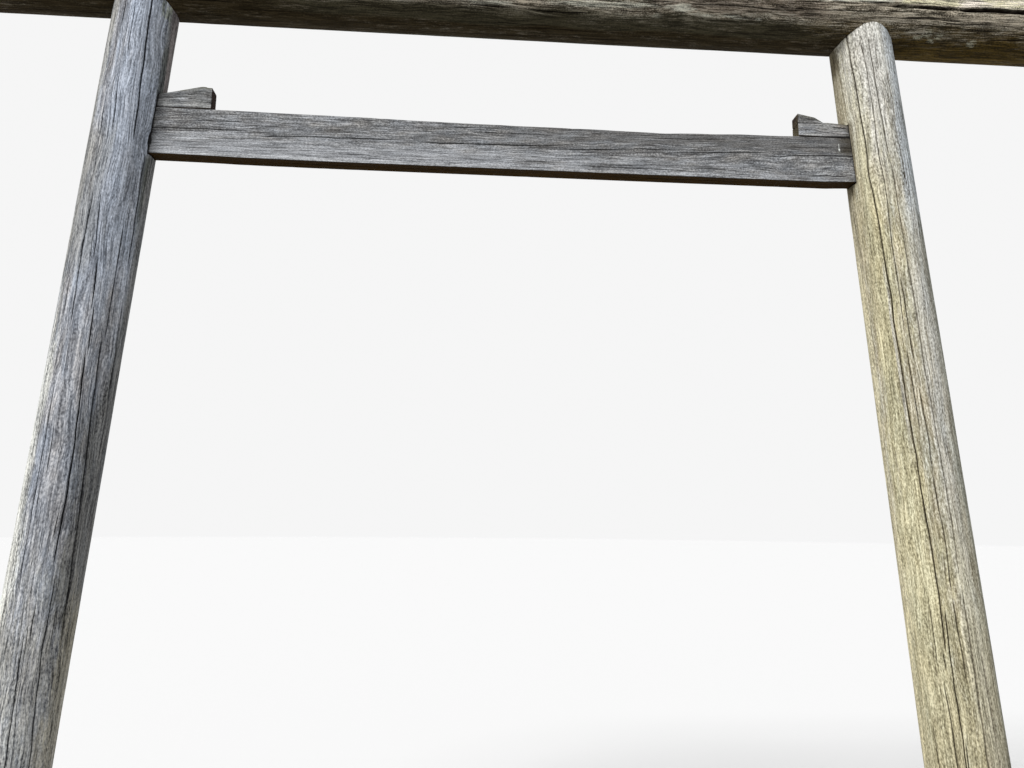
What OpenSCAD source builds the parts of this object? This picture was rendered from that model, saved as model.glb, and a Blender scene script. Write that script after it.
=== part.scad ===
/* [Gate] */
// distance between the post feet, centre to centre
post_spacing = 2984; // [1800:1:5000]
// lean of each post towards the other, in degrees from upright
post_lean = 4.1; // [0:0.1:8]

/* [Posts] */
// left post diameter at the ground
left_foot_d = 211; // [160:1:300]
// left post diameter at the height of the top log's axis
left_top_d = 206; // [150:1:240]
// right post diameter at the ground
right_foot_d = 254; // [160:1:320]
// right post diameter at the height of the top log's axis
right_top_d = 211; // [150:1:240]

/* [Top log] */
// height of the top log's axis above the ground
log_axis_h = 3316; // [3150:1:4500]
// diameter of the top log
log_d = 256; // [244:1:340]
// how far the top log runs on past each post's axis
log_overhang = 896; // [300:1:1800]
// bevel round each end of the top log
log_bevel = 8; // [0:1:30]

/* [Tie beam] */
// clear height between the tie beam and the top log
beam_drop = 353; // [140:1:1200]
// height of the tie beam's section
beam_h = 170; // [90:1:220]
// thickness of the tie beam from front to back
beam_t = 58; // [36:1:90]
// how far the tie beam is let into each post, at its underside
beam_let_in = 110; // [60:1:135]

/* [Wedges] */
// thickness of both wedges from front to back
wedge_t = 50; // [30:1:90]
// how far the thin end of each wedge is driven into its post
wedge_let_in = 85; // [40:1:100]
// left wedge, from the post's side to the thick end
left_wedge_out = 167; // [80:1:260]
// left wedge, height at the thick end
left_wedge_h = 90; // [80:1:110]
// left wedge, slope of the top in degrees
left_wedge_slope = 13.4; // [5:0.1:17]
// left wedge, run of the cut corner at the thick end
corner_run = 21; // [4:1:60]
// left wedge, drop of the cut corner at the thick end
corner_drop = 11; // [3:1:30]
// right wedge, from the post's side to the thick end
right_wedge_out = 178; // [130:1:300]
// right wedge, height at the thick end
right_wedge_h = 87; // [75:1:110]
// right wedge, slope of the top in degrees
right_wedge_slope = 11.2; // [5:0.1:15]
// right wedge, height of the split along the grain
split_h = 52; // [30:1:60]
// right wedge, length of the splinter along its top
splinter_top = 62; // [20:1:85]
// right wedge, length of the splinter along the split
splinter_foot = 92; // [70:1:130]

/* [Joints] */
// gap left between faces that bear on each other
seat_gap = 0.3; // [0.1:0.1:1]
// play in front of and behind the beam in the left mortise
left_mortise_play = 5; // [1:0.5:10]
// play in front of and behind the beam in the right mortise
right_mortise_play = 1.5; // [1:0.5:10]
// free space past the end of the beam in each mortise
mortise_end_play = 5; // [1:1:15]
// width of the tenon on each post top, along the log
tenon_w = 100; // [60:1:120]
// thickness of the tenon on each post top, across the log
tenon_t = 60; // [40:1:90]
// height that the tenon rises above the log's underside
tenon_h = 100; // [60:1:130]
// free space round the tenon in the log
tenon_play = 0.8; // [0.3:0.1:3]
// free space above the tenon in the log
tenon_end_play = 5; // [1:1:15]

/* [Hidden] */

$fn = 128;
// each cutting shape runs on this far past what it cuts
overrun = 60;

blue_grey = "#848b91";
warm_grey = "#a49d86";
dark_brown = "#5a5147";
beam_grey = "#7d7f80";
wedge_grey = "#77787a";

log_under_h = log_axis_h - log_d / 2;
log_len = post_spacing - 2 * log_axis_h * tan(post_lean) + 2 * log_overhang;
beam_top_h = log_under_h - beam_drop;
beam_bottom_h = beam_top_h - beam_h;
wedge_bed_h = beam_top_h + seat_gap;

// Each side of the gate is drawn from its own post foot, with X towards the middle.
function axis_x(z) = z * tan(post_lean);
function post_r(foot_d, top_d, z) = (foot_d + (top_d - foot_d) * z / log_axis_h) / 2;
function inner_x(foot_d, top_d, z) = axis_x(z) + post_r(foot_d, top_d, z);
function beam_end_x(foot_d, top_d) = inner_x(foot_d, top_d, beam_bottom_h) - beam_let_in;
function wedge_side_x(foot_d, top_d) = inner_x(foot_d, top_d, beam_top_h);

// top of a wedge above its bed, where side_x is the post's side
function wedge_top(x, side_x, out, thick_h, slope) = thick_h - (side_x + out - x) * tan(slope);

module right_side() {
  translate([post_spacing, 0, 0]) mirror([1, 0, 0]) children();
}

// an outline in X and Z, given a thickness from front to back
module front_view(thick) {
  rotate([90, 0, 0]) linear_extrude(height = thick, center = true) children();
}

// a cylinder along X, centred on the height of the top log's axis
module along_log(len, r) {
  translate([0, 0, log_axis_h]) rotate([0, 90, 0]) cylinder(h = len, r = r, center = true);
}

// the tapering trunk, leaning towards +X and sawn off level at the ground
module leaning_trunk(foot_d, top_d) {
  trunk_len = log_axis_h / cos(post_lean);
  buried_r = post_r(foot_d, top_d, -overrun * cos(post_lean));
  difference() {
    rotate([0, post_lean, 0]) translate([0, 0, -overrun])
      cylinder(h = trunk_len + overrun, r1 = buried_r, r2 = top_d / 2);
    translate([-foot_d, -foot_d, -2 * foot_d]) cube([2 * foot_d, 2 * foot_d, 2 * foot_d]);
  }
}

// an upright block on the post top, grown by a play on its sides and at its end
module top_tenon(side_play, end_play) {
  w = tenon_w + 2 * side_play;
  t = tenon_t + 2 * side_play;
  rise = tenon_h + end_play;
  translate([axis_x(log_under_h) - w / 2, -t / 2, log_under_h - overrun]) cube([w, t, rise + overrun]);
}

// the slot for the beam's end and for the wedge above it, its ceiling cut to the wedge's slope
module mortise(foot_d, top_d, play, out, thick_h, slope) {
  side_x = wedge_side_x(foot_d, top_d);
  back_x = min(beam_end_x(foot_d, top_d), side_x - wedge_let_in) - mortise_end_play;
  mouth_x = side_x + overrun;
  floor_z = beam_bottom_h - seat_gap;
  back_z = wedge_bed_h + wedge_top(back_x, side_x, out, thick_h, slope) + seat_gap;
  mouth_z = wedge_bed_h + wedge_top(mouth_x, side_x, out, thick_h, slope) + seat_gap;
  front_view(max(beam_t, wedge_t) + 2 * play)
    polygon([[back_x, floor_z], [mouth_x, floor_z], [mouth_x, mouth_z], [back_x, back_z]]);
}

// one post: trunk, saddle for the top log, tenon and mortise
module post(foot_d, top_d, play, out, thick_h, slope) {
  difference() {
    union() {
      difference() {
        leaning_trunk(foot_d, top_d);
        translate([axis_x(log_axis_h), 0, 0]) along_log(2 * top_d, log_d / 2 + seat_gap);
      }
      top_tenon(0, 0);
    }
    mortise(foot_d, top_d, play, out, thick_h, slope);
  }
}

// outline of a whole wedge, standing on its bed
module wedge_outline(side_x, out, thick_h, slope) {
  thin_x = side_x - wedge_let_in;
  thick_x = side_x + out;
  polygon([[thin_x, 0], [thick_x, 0], [thick_x, thick_h],
           [thin_x, wedge_top(thin_x, side_x, out, thick_h, slope)]]);
}

module left_post() {
  color(blue_grey)
    post(left_foot_d, left_top_d, left_mortise_play, left_wedge_out, left_wedge_h, left_wedge_slope);
}

module right_post() {
  color(warm_grey) right_side()
    post(right_foot_d, right_top_d, right_mortise_play,
         right_wedge_out, right_wedge_h, right_wedge_slope);
}

// round log with bevelled ends, mortised from below for both post tenons
module top_log() {
  r = log_d / 2;
  color(dark_brown) difference() {
    translate([(post_spacing - log_len) / 2, 0, log_axis_h]) rotate([0, 90, 0]) rotate_extrude()
      polygon([[0, 0], [r - log_bevel, 0], [r, log_bevel], [r, log_len - log_bevel],
               [r - log_bevel, log_len], [0, log_len]]);
    top_tenon(tenon_play, tenon_end_play);
    right_side() top_tenon(tenon_play, tenon_end_play);
  }
}

module tie_beam() {
  left_x = beam_end_x(left_foot_d, left_top_d);
  right_x = post_spacing - beam_end_x(right_foot_d, right_top_d);
  color(beam_grey) translate([left_x, -beam_t / 2, beam_bottom_h])
    cube([right_x - left_x, beam_t, beam_h]);
}

// wedge with its upper corner cut off at the thick end
module left_wedge() {
  side_x = wedge_side_x(left_foot_d, left_top_d);
  thick_x = side_x + left_wedge_out;
  cut_x = thick_x - corner_run;
  cut_z = wedge_top(cut_x, side_x, left_wedge_out, left_wedge_h, left_wedge_slope);
  corner_z = left_wedge_h - corner_drop;
  color(wedge_grey) translate([0, 0, wedge_bed_h]) front_view(wedge_t) difference() {
    wedge_outline(side_x, left_wedge_out, left_wedge_h, left_wedge_slope);
    polygon([[cut_x, cut_z], [thick_x, corner_z], [thick_x + overrun, corner_z],
             [thick_x + overrun, left_wedge_h + overrun], [cut_x, left_wedge_h + overrun]]);
  }
}

// wedge split along the grain, with the upper part broken off next to the post
module right_wedge() {
  side_x = wedge_side_x(right_foot_d, right_top_d);
  thick_x = side_x + right_wedge_out;
  thin_x = side_x - wedge_let_in;
  break_x = thick_x - splinter_top;
  break_z = wedge_top(break_x, side_x, right_wedge_out, right_wedge_h, right_wedge_slope);
  color(wedge_grey) right_side() translate([0, 0, wedge_bed_h]) front_view(wedge_t) difference() {
    wedge_outline(side_x, right_wedge_out, right_wedge_h, right_wedge_slope);
    polygon([[break_x, break_z], [break_x, break_z + overrun], [thin_x - overrun, break_z + overrun],
             [thin_x - overrun, split_h], [thick_x - splinter_foot, split_h]]);
  }
}

left_post();
right_post();
top_log();
tie_beam();
left_wedge();
right_wedge();
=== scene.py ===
import math

import bmesh
import bpy
import numpy as np
from mathutils import Matrix


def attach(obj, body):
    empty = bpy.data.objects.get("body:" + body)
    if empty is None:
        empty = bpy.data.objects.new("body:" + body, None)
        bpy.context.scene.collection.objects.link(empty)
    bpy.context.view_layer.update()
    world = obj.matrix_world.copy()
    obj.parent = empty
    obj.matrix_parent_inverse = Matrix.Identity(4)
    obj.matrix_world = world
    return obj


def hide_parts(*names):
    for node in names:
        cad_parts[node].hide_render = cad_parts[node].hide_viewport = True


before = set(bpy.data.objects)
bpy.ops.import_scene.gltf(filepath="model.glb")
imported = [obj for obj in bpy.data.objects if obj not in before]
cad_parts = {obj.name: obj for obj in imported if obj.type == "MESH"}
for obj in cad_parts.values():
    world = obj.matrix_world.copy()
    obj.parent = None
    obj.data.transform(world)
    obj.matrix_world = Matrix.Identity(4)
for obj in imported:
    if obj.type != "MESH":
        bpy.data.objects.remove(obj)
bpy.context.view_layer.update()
print("frame loaded:", len(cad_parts), "nodes")

# sizes in mm, as in the CAD model
mm = 0.001
postSpacing = 2984
leanSlope = math.tan(math.radians(4.1))  # both posts lean to the middle
logAxisZ, logRadius = 3316, 128
logFrom, logTo = -658.3, 3642.3
beamFloor, beamHeight = 2665, 170
beamTop = beamFloor + beamHeight
seatGap = 0.3  # between faces that bear on each other

# the photograph's viewpoint, in metres and degrees
viewpoint = dict(place=(1.3059, -2.4998, 1.4996), yaw=4.2175, pitch=9.797, roll=0.4893, lens=27.42, sensor=36)


def addObject(name, data):
    thing = bpy.data.objects.new(name, data)
    bpy.context.scene.collection.objects.link(thing)
    return thing


def makeCamera(v):
    data = bpy.data.cameras.new("photoCamera")
    data.lens = v["lens"]
    data.sensor_width = v["sensor"]
    camera = addObject("photoCamera", data)
    turn = (Matrix.Rotation(math.radians(-v["yaw"]), 4, "Z")
            @ Matrix.Rotation(math.radians(90 + v["pitch"]), 4, "X")
            @ Matrix.Rotation(math.radians(v["roll"]), 4, "Z"))
    camera.matrix_world = Matrix.Translation(v["place"]) @ turn
    bpy.context.scene.camera = camera


makeCamera(viewpoint)
print("camera placed")


# shared mesh code: every timber is a grid, with rows across the grain and columns along it

noiseFrom, noiseSpan = -2000, 8000  # stretch in mm that the streaks cover
lanes = 40  # strands of noise, one for each guide, so that each wobbles on its own
# columns beside a crack lie at these shares of its width; depths, and the painted shades that darken the groove, go
# from its middle outwards
columnRules = dict(wobble=1.1, wobbleLength=48, closest=1.5, mostOfRoom=0.42, narrowest=0.4,
                   shares=[-1.1, -0.5, -0.24, 0, 0.24, 0.5, 1.1])
strands = [(75, 420, 1.6), (8, 170, 0.6), (4.4, 75, 0.7)]  # (width, length, height) of the hollows and ridges
crackRules = dict(taper=70, ragged=42, depths=(1, 0.72, 0.07, 0), shades=(0.95, 0.85, 0.35, 0.05))
sharpAngle = 52  # degrees between faces that shade as a sharp edge


def ease(t):
    t = np.clip(t, 0, 1)
    return t * t * (3 - 2 * t)


def rise(value, start, run):
    return ease((value - start) / run)


def fall(value, end, run):
    return ease((end - value) / run)


def band(value, centre, half, soft):
    return ease((half + soft - np.abs(value - centre)) / soft)


def oval(x, y, place, at, length, half):
    return np.exp(-((x - place) / length) ** 2 - ((y - at) / half) ** 2)


def follow(s, path):
    return np.interp(s, *np.array(sorted(path), float).T)


def streaks(u, s, cells, length, seed):
    # noise from -1 to 1, drawn out along the grain: u goes once round the timber, s is in mm
    rng = np.random.default_rng(seed)
    lattice = rng.uniform(-1, 1, (cells, int(noiseSpan / length) + 4))
    shift = rng.uniform(0, 1, cells)
    a = (u % 1) * cells
    left = np.floor(a).astype(int) % cells
    across = ease(a - np.floor(a))

    def strand(i):
        b = (s - noiseFrom) / length + shift[i]
        j = np.floor(b).astype(int)
        f = ease(b - j)
        return lattice[i, j] * (1 - f) + lattice[i, j + 1] * f

    return strand(left) * (1 - across) + strand((left + 1) % cells) * across


def guide(width, path, *cracks, **more):
    # a line of the grain; each crack on it is (from, to, depth[, how wide])
    return dict(width=width, path=path, cracks=cracks, **more)


def openness(s, g):
    # how far each crack on this guide stands open along the rows, and its depth in mm
    wide, deep = np.zeros_like(s), np.zeros_like(s)
    for crack in g.get("cracks", []):
        low, high = sorted(crack[:2])
        taper = min(crackRules["taper"], 0.4 * (high - low))
        env = rise(s, low, taper) * fall(s, high, taper)
        wide = np.maximum(wide, env * (crack[3] if len(crack) > 3 else 1))
        deep = np.maximum(deep, env * crack[2])
    return wide, deep


def layColumns(s, guides, columns, turn, perMm):
    # one column runs along every guide, with tight columns beside it where it carries a crack
    rules = columnRules
    mid = np.array([follow(s, g["path"]) for g in guides])
    for k, g in enumerate(guides):
        if "offsets" not in g:
            wobble = streaks(np.full_like(s, k / lanes), s, lanes, rules["wobbleLength"], 7)
            mid[k] += rules["wobble"] * perMm * wobble
    for k in range(1, len(mid)):
        mid[k] = np.maximum(mid[k], mid[k - 1] + rules["closest"] * perMm)
    room = np.vstack([mid[1:], mid[:1] + turn]) - mid
    steps = []
    for k, g in enumerate(guides):
        if "offsets" in g:
            offsets = np.array(g["offsets"])[:, None] * np.ones_like(s) * perMm
        else:
            share = np.array(g.get("shares", rules["shares"]))[:, None]
            least = rules["narrowest"]
            offsets = share * g["width"] * (least + (1 - least) * openness(s, g)[0]) * perMm
        limit = rules["mostOfRoom"] * np.where(offsets > 0, room[k], room[k - 1])
        steps.append(np.clip(offsets, -limit, limit))
    free = columns - sum(len(o) for o in steps)
    following = steps[1:] + steps[:1]
    gaps = np.array([np.mean(room[k] - steps[k][-1] + following[k][0]) for k in range(len(guides))])
    counts = np.maximum(1, np.round(free * gaps / sum(gaps))).astype(int)
    rows, tight, where = [], [], []
    for k in range(len(guides)):
        where.append(len(rows) + len(steps[k]) // 2)
        rows += [mid[k] + o for o in steps[k]]
        start, end = mid[k] + steps[k][-1], mid[k] + room[k] + following[k][0]
        rows += [start + (end - start) * (j + 1) / (counts[k] + 1) for j in range(counts[k])]
        tight += [True] * len(steps[k]) + [False] * counts[k]
    return np.array(rows).T, where, np.array(tight)


def cutCracks(s, guides, where, relief, dark, seed):
    # vee grooves along the guides: deepest in the middle column, with eased lips, each darkened with painted shade
    columns = relief.shape[1]
    for k, g in enumerate(guides):
        if not g.get("cracks"):
            continue
        wide, deep = openness(s, g)
        ragged = streaks(np.full_like(s, k / lanes), s, lanes, crackRules["ragged"], seed)
        deep = deep * (1 + 0.35 * ragged)
        wide = wide * (0.85 + 0.3 * ragged)
        for step, (share, shade) in enumerate(zip(crackRules["depths"], g.get("shades", crackRules["shades"]))):
            for c in {(where[k] + step) % columns, (where[k] - step) % columns}:
                relief[:, c] += deep * share
                dark[:, c] = np.maximum(dark[:, c], shade * ease(wide * 1.5))


def scatterChecks(s, tight, relief, dark, p, seed):
    # short drying checks, each one column wide and darkened with painted shade
    rng = np.random.default_rng(seed)
    columns = relief.shape[1]
    for _ in range(p["checks"]):
        c = int(rng.integers(columns))
        length = p["checkLength"] * rng.uniform(0.15, 1) ** 1.5
        start = rng.uniform(s.min(), s.max() - length)
        level = rng.uniform(0.4, 1)
        env = rise(s, start, 0.35 * length) * fall(s, start + length, 0.35 * length)
        if tight[c] or tight[(c + 1) % columns] or tight[c - 1]:
            continue
        relief[:, c] += p["checkDepth"] * level * env
        dark[:, c] = np.maximum(dark[:, c], 0.7 * env * level)


def partGrain(u, s, knots, girth):
    # the grain parts round each knot: (place along, place round, half width, half length) in mm
    core = np.zeros_like(u)
    for along, around, half, reach in knots:
        away = ((u - around / girth + 0.5) % 1 - 0.5) * girth
        pull = half ** 2 * np.exp(-((s - along) / reach) ** 2)
        core = np.maximum(core, ease((pull - away ** 2) / (0.5 * half ** 2)))
        moved = np.sign(away) * np.maximum(np.sqrt(np.maximum(away ** 2 - pull, 0)), 0.5 * np.abs(away))
        fade = np.exp(-(away / (6 * half)) ** 2)
        u = u + (moved - away) * fade / girth
    return u, core


def weatherWall(s, p, turn, girth):
    # a timber's long face; turn is one lap of its guides, in degrees or mm
    at, where, tight = layColumns(s, p["guides"], p["columns"], turn, turn / girth)
    rows, columns = at.shape
    along = s[:, None] * np.ones((1, columns))
    around = np.mean(at, 0)[None, :] / turn * np.ones((rows, 1))
    knots = [(a, b / turn * girth, c, d) for a, b, c, d in p["knots"]]
    around, core = partGrain(around, along, knots, girth)
    # the raised ridges are what weather leaves between softer grain
    seed = p["seed"]
    levels = [0.5 + 0.5 * streaks(around, along, max(6, int(girth / width)), length, seed + k)
              for k, (width, length, _) in enumerate(strands)]
    relief = p["ridges"] * sum(level * strand[2] for level, strand in zip(levels, strands)) - p["knotRise"] * core
    if p["fullWidth"]:
        relief -= relief.min()
    # dark is the painted shade in cracks and checks
    dark = np.zeros((rows, columns))
    cutCracks(s, p["guides"], where, relief, dark, seed + 5)
    scatterChecks(s, tight, relief, dark, p, seed + 6)
    ridge = 1 - (0.35 * levels[1] + 0.65 * levels[2])
    return at, where, along, around, core, relief, dark, ridge


def timberFields(grainPlace, dark, ridge, zones, before, after):
    # the rings that close a timber, before and after its long face, are end grain
    def capped(values, value):
        return np.pad(values, ((before, after), (0, 0)), constant_values=value)

    # crack carries painted shade: cracks, checks, joints and recesses darkened
    fields = dict(grainPlace=grainPlace, crack=capped(dark, 0), ridge=capped(ridge, 0.4), endGrain=capped(0 * dark, 1))
    for key, value in zones.items():
        fields[key] = capped(np.maximum(value, dark) if key == "crack" else value, 0)
    return fields


def roundGrain(around, before, after, pull, radius, along):
    # grain place of a round timber in metres, drawn in by pull towards its pith
    turn = 2 * np.pi * np.pad(around, ((before, after), (0, 0)), mode="edge")
    pull = np.array(pull)[:, None]
    return np.stack([radius * np.cos(turn) * pull, radius * np.sin(turn) * pull, along], -1) * mm


def gridObject(name, grid, flip, fields, skip=None, extraPoints=(), extraFaces=(), extraFields=None):
    # closed grid with a point at each end; its place is in its mesh, and the object sits at the origin
    rows, columns = grid.shape[:2]
    ends = np.array([grid[0].mean(0), grid[-1].mean(0)])
    extraPoints = np.array(extraPoints, float).reshape(-1, 3)
    points = np.vstack([grid.reshape(-1, 3), ends, extraPoints]) * mm
    index = np.arange(rows * columns).reshape(rows, columns)
    after = np.roll(index, -1, axis=1)
    quads = np.stack([index[:-1], after[:-1], after[1:], index[1:]], -1)
    quads = quads.reshape(-1, 4) if skip is None else quads[~skip]
    first = np.stack([after[0], index[0], np.full(columns, rows * columns)], -1)
    last = np.stack([index[-1], after[-1], np.full(columns, rows * columns + 1)], -1)
    faces = quads.tolist() + first.tolist() + last.tolist()
    if flip:
        faces = [f[::-1] for f in faces]
    mesh = bpy.data.meshes.new(name)
    mesh.from_pydata(points.tolist(), [], faces + list(extraFaces))
    for key, value in fields.items():
        vector = value.ndim == 3
        flat = value.reshape(rows * columns, -1)
        tail = np.array([value[0].mean(0), value[-1].mean(0)]).reshape(2, -1)
        more = (extraFields or {}).get(key, np.zeros((len(extraPoints), flat.shape[1])))
        layer = mesh.attributes.new(key, "FLOAT_VECTOR" if vector else "FLOAT", "POINT")
        values = np.vstack([flat, tail, more]).astype(np.float32).ravel()
        layer.data.foreach_set("vector" if vector else "value", values)
    thing = addObject(name, mesh)
    if skip is not None:
        dropLoosePoints(mesh)
    mesh.shade_smooth()
    mesh.set_sharp_from_angle(angle=math.radians(sharpAngle))
    return thing


def dropLoosePoints(mesh):
    b = bmesh.new()
    b.from_mesh(mesh)
    bmesh.ops.delete(b, geom=[v for v in b.verts if not v.link_faces], context="VERTS")
    b.to_mesh(mesh)
    b.free()


def settle(thing, node, material):
    thing.data.materials.append(material)
    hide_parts(node)
    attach(thing, "root")
    print(thing.name, "built,", sum(len(p.vertices) - 2 for p in thing.data.polygons), "triangles")


# shared shader groups

def tone(*rgb):
    # a colour as it is read off a screen, 0 to 255
    shares = [c / 255 for c in rgb]
    return (*[c / 12.92 if c <= 0.04045 else ((c + 0.055) / 1.055) ** 2.4 for c in shares], 1)


def plugIn(tree, n, inputs):
    for key, value in inputs.items():
        if isinstance(value, bpy.types.NodeSocket):
            tree.links.new(value, n.inputs[key])
        else:
            n.inputs[key].default_value = value


def addNode(tree, kind, inputs, **settings):
    n = tree.nodes.new(kind)
    for key, value in settings.items():
        setattr(n, key, value)
    plugIn(tree, n, inputs)
    return n.outputs


def groupNode(tree, group, inputs):
    return addNode(tree, "ShaderNodeGroup", inputs, node_tree=group)


def calc(tree, operation, a, b=0, c=0, clamp=False):
    return addNode(tree, "ShaderNodeMath", {0: a, 1: b, 2: c}, operation=operation, use_clamp=clamp)[0]


def vectorCalc(tree, operation, inputs, output=0):
    return addNode(tree, "ShaderNodeVectorMath", inputs, operation=operation)[output]


def spread(tree, value, low=0, high=1, fromLow=0, fromHigh=1):
    return addNode(tree, "ShaderNodeMapRange", {"Value": value, "From Min": fromLow, "From Max": fromHigh,
                                                "To Min": low, "To Max": high})[0]


def blendColour(tree, share, a, b, mode="MIX"):
    return addNode(tree, "ShaderNodeMix", {0: share, 6: a, 7: b}, data_type="RGBA", blend_type=mode,
                   clamp_factor=True)[2]


def newGroup(name, takes, gives):
    # takes maps each input to its start value, or to its kind where it has none
    group = bpy.data.node_groups.new(name, "ShaderNodeTree")
    kinds = dict(c="NodeSocketColor", f="NodeSocketFloat", v="NodeSocketVector")
    for key, value in takes.items():
        kind = value if value in ("c", "v") else "v" if isinstance(value, tuple) else "f"
        sock = group.interface.new_socket(key, in_out="INPUT", socket_type=kinds[kind])
        if value != kind:
            sock.default_value = value
    for key, kind in gives.items():
        group.interface.new_socket(key, in_out="OUTPUT", socket_type=kinds[kind])
    start = group.nodes.new("NodeGroupInput")
    end = group.nodes.new("NodeGroupOutput")
    return group, start.outputs, end


def stretchedNoise(tree, place, scale, detail, roughness=0.55, gain=1):
    noise = addNode(tree, "ShaderNodeTexNoise", {"Vector": vectorCalc(tree, "MULTIPLY", {0: place, 1: scale}),
                                                 "Scale": 1, "Detail": detail, "Roughness": roughness})["Fac"]
    return noise if gain == 1 else calc(tree, "MULTIPLY_ADD", noise, gain, 0.5 - 0.5 * gain)


def makeFibreGrain():
    # grain of a weathered timber; Place is in metres, with Z along the grain
    g, take, end = newGroup("fibreGrain", dict(Place="v", Sway=0.03, Fineness=(1, 1, 1)),
                            dict(Fibre="f", Streak="f", Fleck="f", Patch="f", Line="f", Tint="f", Height="f"))
    # the fibres wander a few millimetres to either side on their way
    slow = vectorCalc(g, "MULTIPLY", {0: take["Place"], 1: (10, 10, 5)})
    sway = addNode(g, "ShaderNodeTexNoise", {"Vector": slow, "Scale": 1, "Detail": 1})["Color"]
    sway = vectorCalc(g, "SUBTRACT", {0: sway, 1: (0.5, 0.5, 0.5)})
    reach = addNode(g, "ShaderNodeCombineXYZ", {0: take["Sway"], 1: take["Sway"]})[0]
    place = vectorCalc(g, "MULTIPLY_ADD", {0: sway, 1: reach, 2: take["Place"]})
    place = vectorCalc(g, "MULTIPLY", {0: place, 1: take["Fineness"]})
    masks = dict(Fibre=((240, 240, 5), 3, 0.64, 2.8), Streak=((78, 78, 1.5), 3, 0.6, 2.4),
                 Fleck=((290, 290, 105), 1, 0.6, 2.6), Patch=((15, 15, 2.6), 3, 0.55, 2),
                 Tint=((26, 26, 6), 2, 0.6, 2.4))  # scale, detail, roughness, gain
    made = {key: stretchedNoise(g, place, *values) for key, values in masks.items()}
    # hairline checks lie where a stretched noise crosses its middle value
    crossing = calc(g, "ABSOLUTE", calc(g, "SUBTRACT", stretchedNoise(g, place, (105, 105, 2), 1), 0.5))
    line = spread(g, crossing, 1, 0, fromHigh=0.04)
    line = calc(g, "MULTIPLY", line, calc(g, "MULTIPLY_ADD", made["Fleck"], 0.9, 0.1, clamp=True))
    height = calc(g, "ADD", calc(g, "MULTIPLY", made["Fibre"], 0.6), calc(g, "MULTIPLY", made["Fleck"], 0.4))
    height = calc(g, "SUBTRACT", height, calc(g, "MULTIPLY", line, 0.5))
    plugIn(g, end, dict(made, Line=line, Height=height))
    return g


def makeWeatheredTone():
    # mixes three tones by the grain masks; the weights say how much each mask counts
    masks = ("Fibre", "Streak", "Fleck", "Patch", "Ridge")
    takes = {key: 0.5 for key in masks}
    takes.update({key + "Weight": 1 for key in masks})
    takes.update(Line=0, LineWeight=0.4, Tint=0.5, Dark="c", Middle="c", Light="c", Cool="c", Warm="c")
    g, take, end = newGroup("weatheredTone", takes, dict(Colour="c", Tone="f"))
    total = 0.5
    for key in masks:
        part = calc(g, "MULTIPLY", calc(g, "SUBTRACT", take[key], 0.5), take[key + "Weight"])
        total = calc(g, "ADD", total, part)
    total = calc(g, "SUBTRACT", total, calc(g, "MULTIPLY", take["Line"], take["LineWeight"]), clamp=True)
    low = calc(g, "MULTIPLY", total, 2, clamp=True)
    high = calc(g, "MULTIPLY_ADD", total, 2, -1, clamp=True)
    colour = blendColour(g, high, blendColour(g, low, take["Dark"], take["Middle"]), take["Light"])
    hue = blendColour(g, calc(g, "MULTIPLY", take["Tint"], 1, clamp=True), take["Cool"], take["Warm"])
    plugIn(g, end, dict(Colour=blendColour(g, 1, colour, hue, "MULTIPLY"), Tone=total))
    return g


def makeSurfaceFilm():
    # a thin film such as algae, bleaching, damp or a painted shade or light, broken up by noise; Zone says where it
    # lies
    g, take, end = newGroup("surfaceFilm", dict(Colour="c", Film="c", Zone=0, Place="v", Cover=0.6, Breakup=1,
                                                Sharp=1.7, Tone=0.5, Through=1.3), dict(Colour="c"))
    broad = stretchedNoise(g, take["Place"], (34, 34, 6), 3, 0.6)
    fine = stretchedNoise(g, take["Place"], (220, 220, 26), 2, 0.6)
    uneven = calc(g, "SUBTRACT", calc(g, "ADD", broad, fine), 1)
    edge = calc(g, "MULTIPLY_ADD", uneven, calc(g, "MULTIPLY", take["Breakup"], 1.6), take["Zone"])
    edge = calc(g, "MULTIPLY_ADD", calc(g, "SUBTRACT", edge, 0.5), take["Sharp"], 0.5, clamp=True)
    share = calc(g, "MULTIPLY", edge, calc(g, "MULTIPLY", take["Zone"], 3, clamp=True))
    share = calc(g, "MULTIPLY", share, take["Cover"])
    # the grain below still shows through the film
    level = calc(g, "MULTIPLY_ADD", calc(g, "SUBTRACT", take["Tone"], 0.5), take["Through"], 1)
    film = vectorCalc(g, "SCALE", {0: take["Film"], "Scale": level})
    plugIn(g, end, dict(Colour=blendColour(g, share, take["Colour"], film)))
    return g


def makeLichenSpots():
    # small round crusts, only where Zone lets them grow
    g, take, end = newGroup("lichenSpots", dict(Colour="c", Crust="c", Zone=0, Place="v", Size=0.02),
                            dict(Colour="c", Mask="f"))
    scaled = vectorCalc(g, "SCALE", {0: take["Place"], "Scale": calc(g, "DIVIDE", 1, take["Size"])})
    cells = addNode(g, "ShaderNodeTexVoronoi", {"Vector": scaled, "Scale": 1, "Randomness": 1})
    pick = addNode(g, "ShaderNodeSeparateColor", {"Color": cells["Color"]})[0]
    ragged = stretchedNoise(g, take["Place"], (190, 190, 190), 3)
    reach = calc(g, "ADD", cells["Distance"], calc(g, "MULTIPLY", calc(g, "SUBTRACT", ragged, 0.5), 0.7))
    spot = spread(g, reach, fromLow=0.42, fromHigh=0.26)
    mask = calc(g, "MULTIPLY", spot, calc(g, "GREATER_THAN", calc(g, "MULTIPLY", pick, take["Zone"]), 0.62))
    crusted = blendColour(g, calc(g, "MULTIPLY", mask, 0.8), take["Colour"], take["Crust"])
    plugIn(g, end, dict(Colour=crusted, Mask=mask))
    return g


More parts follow.
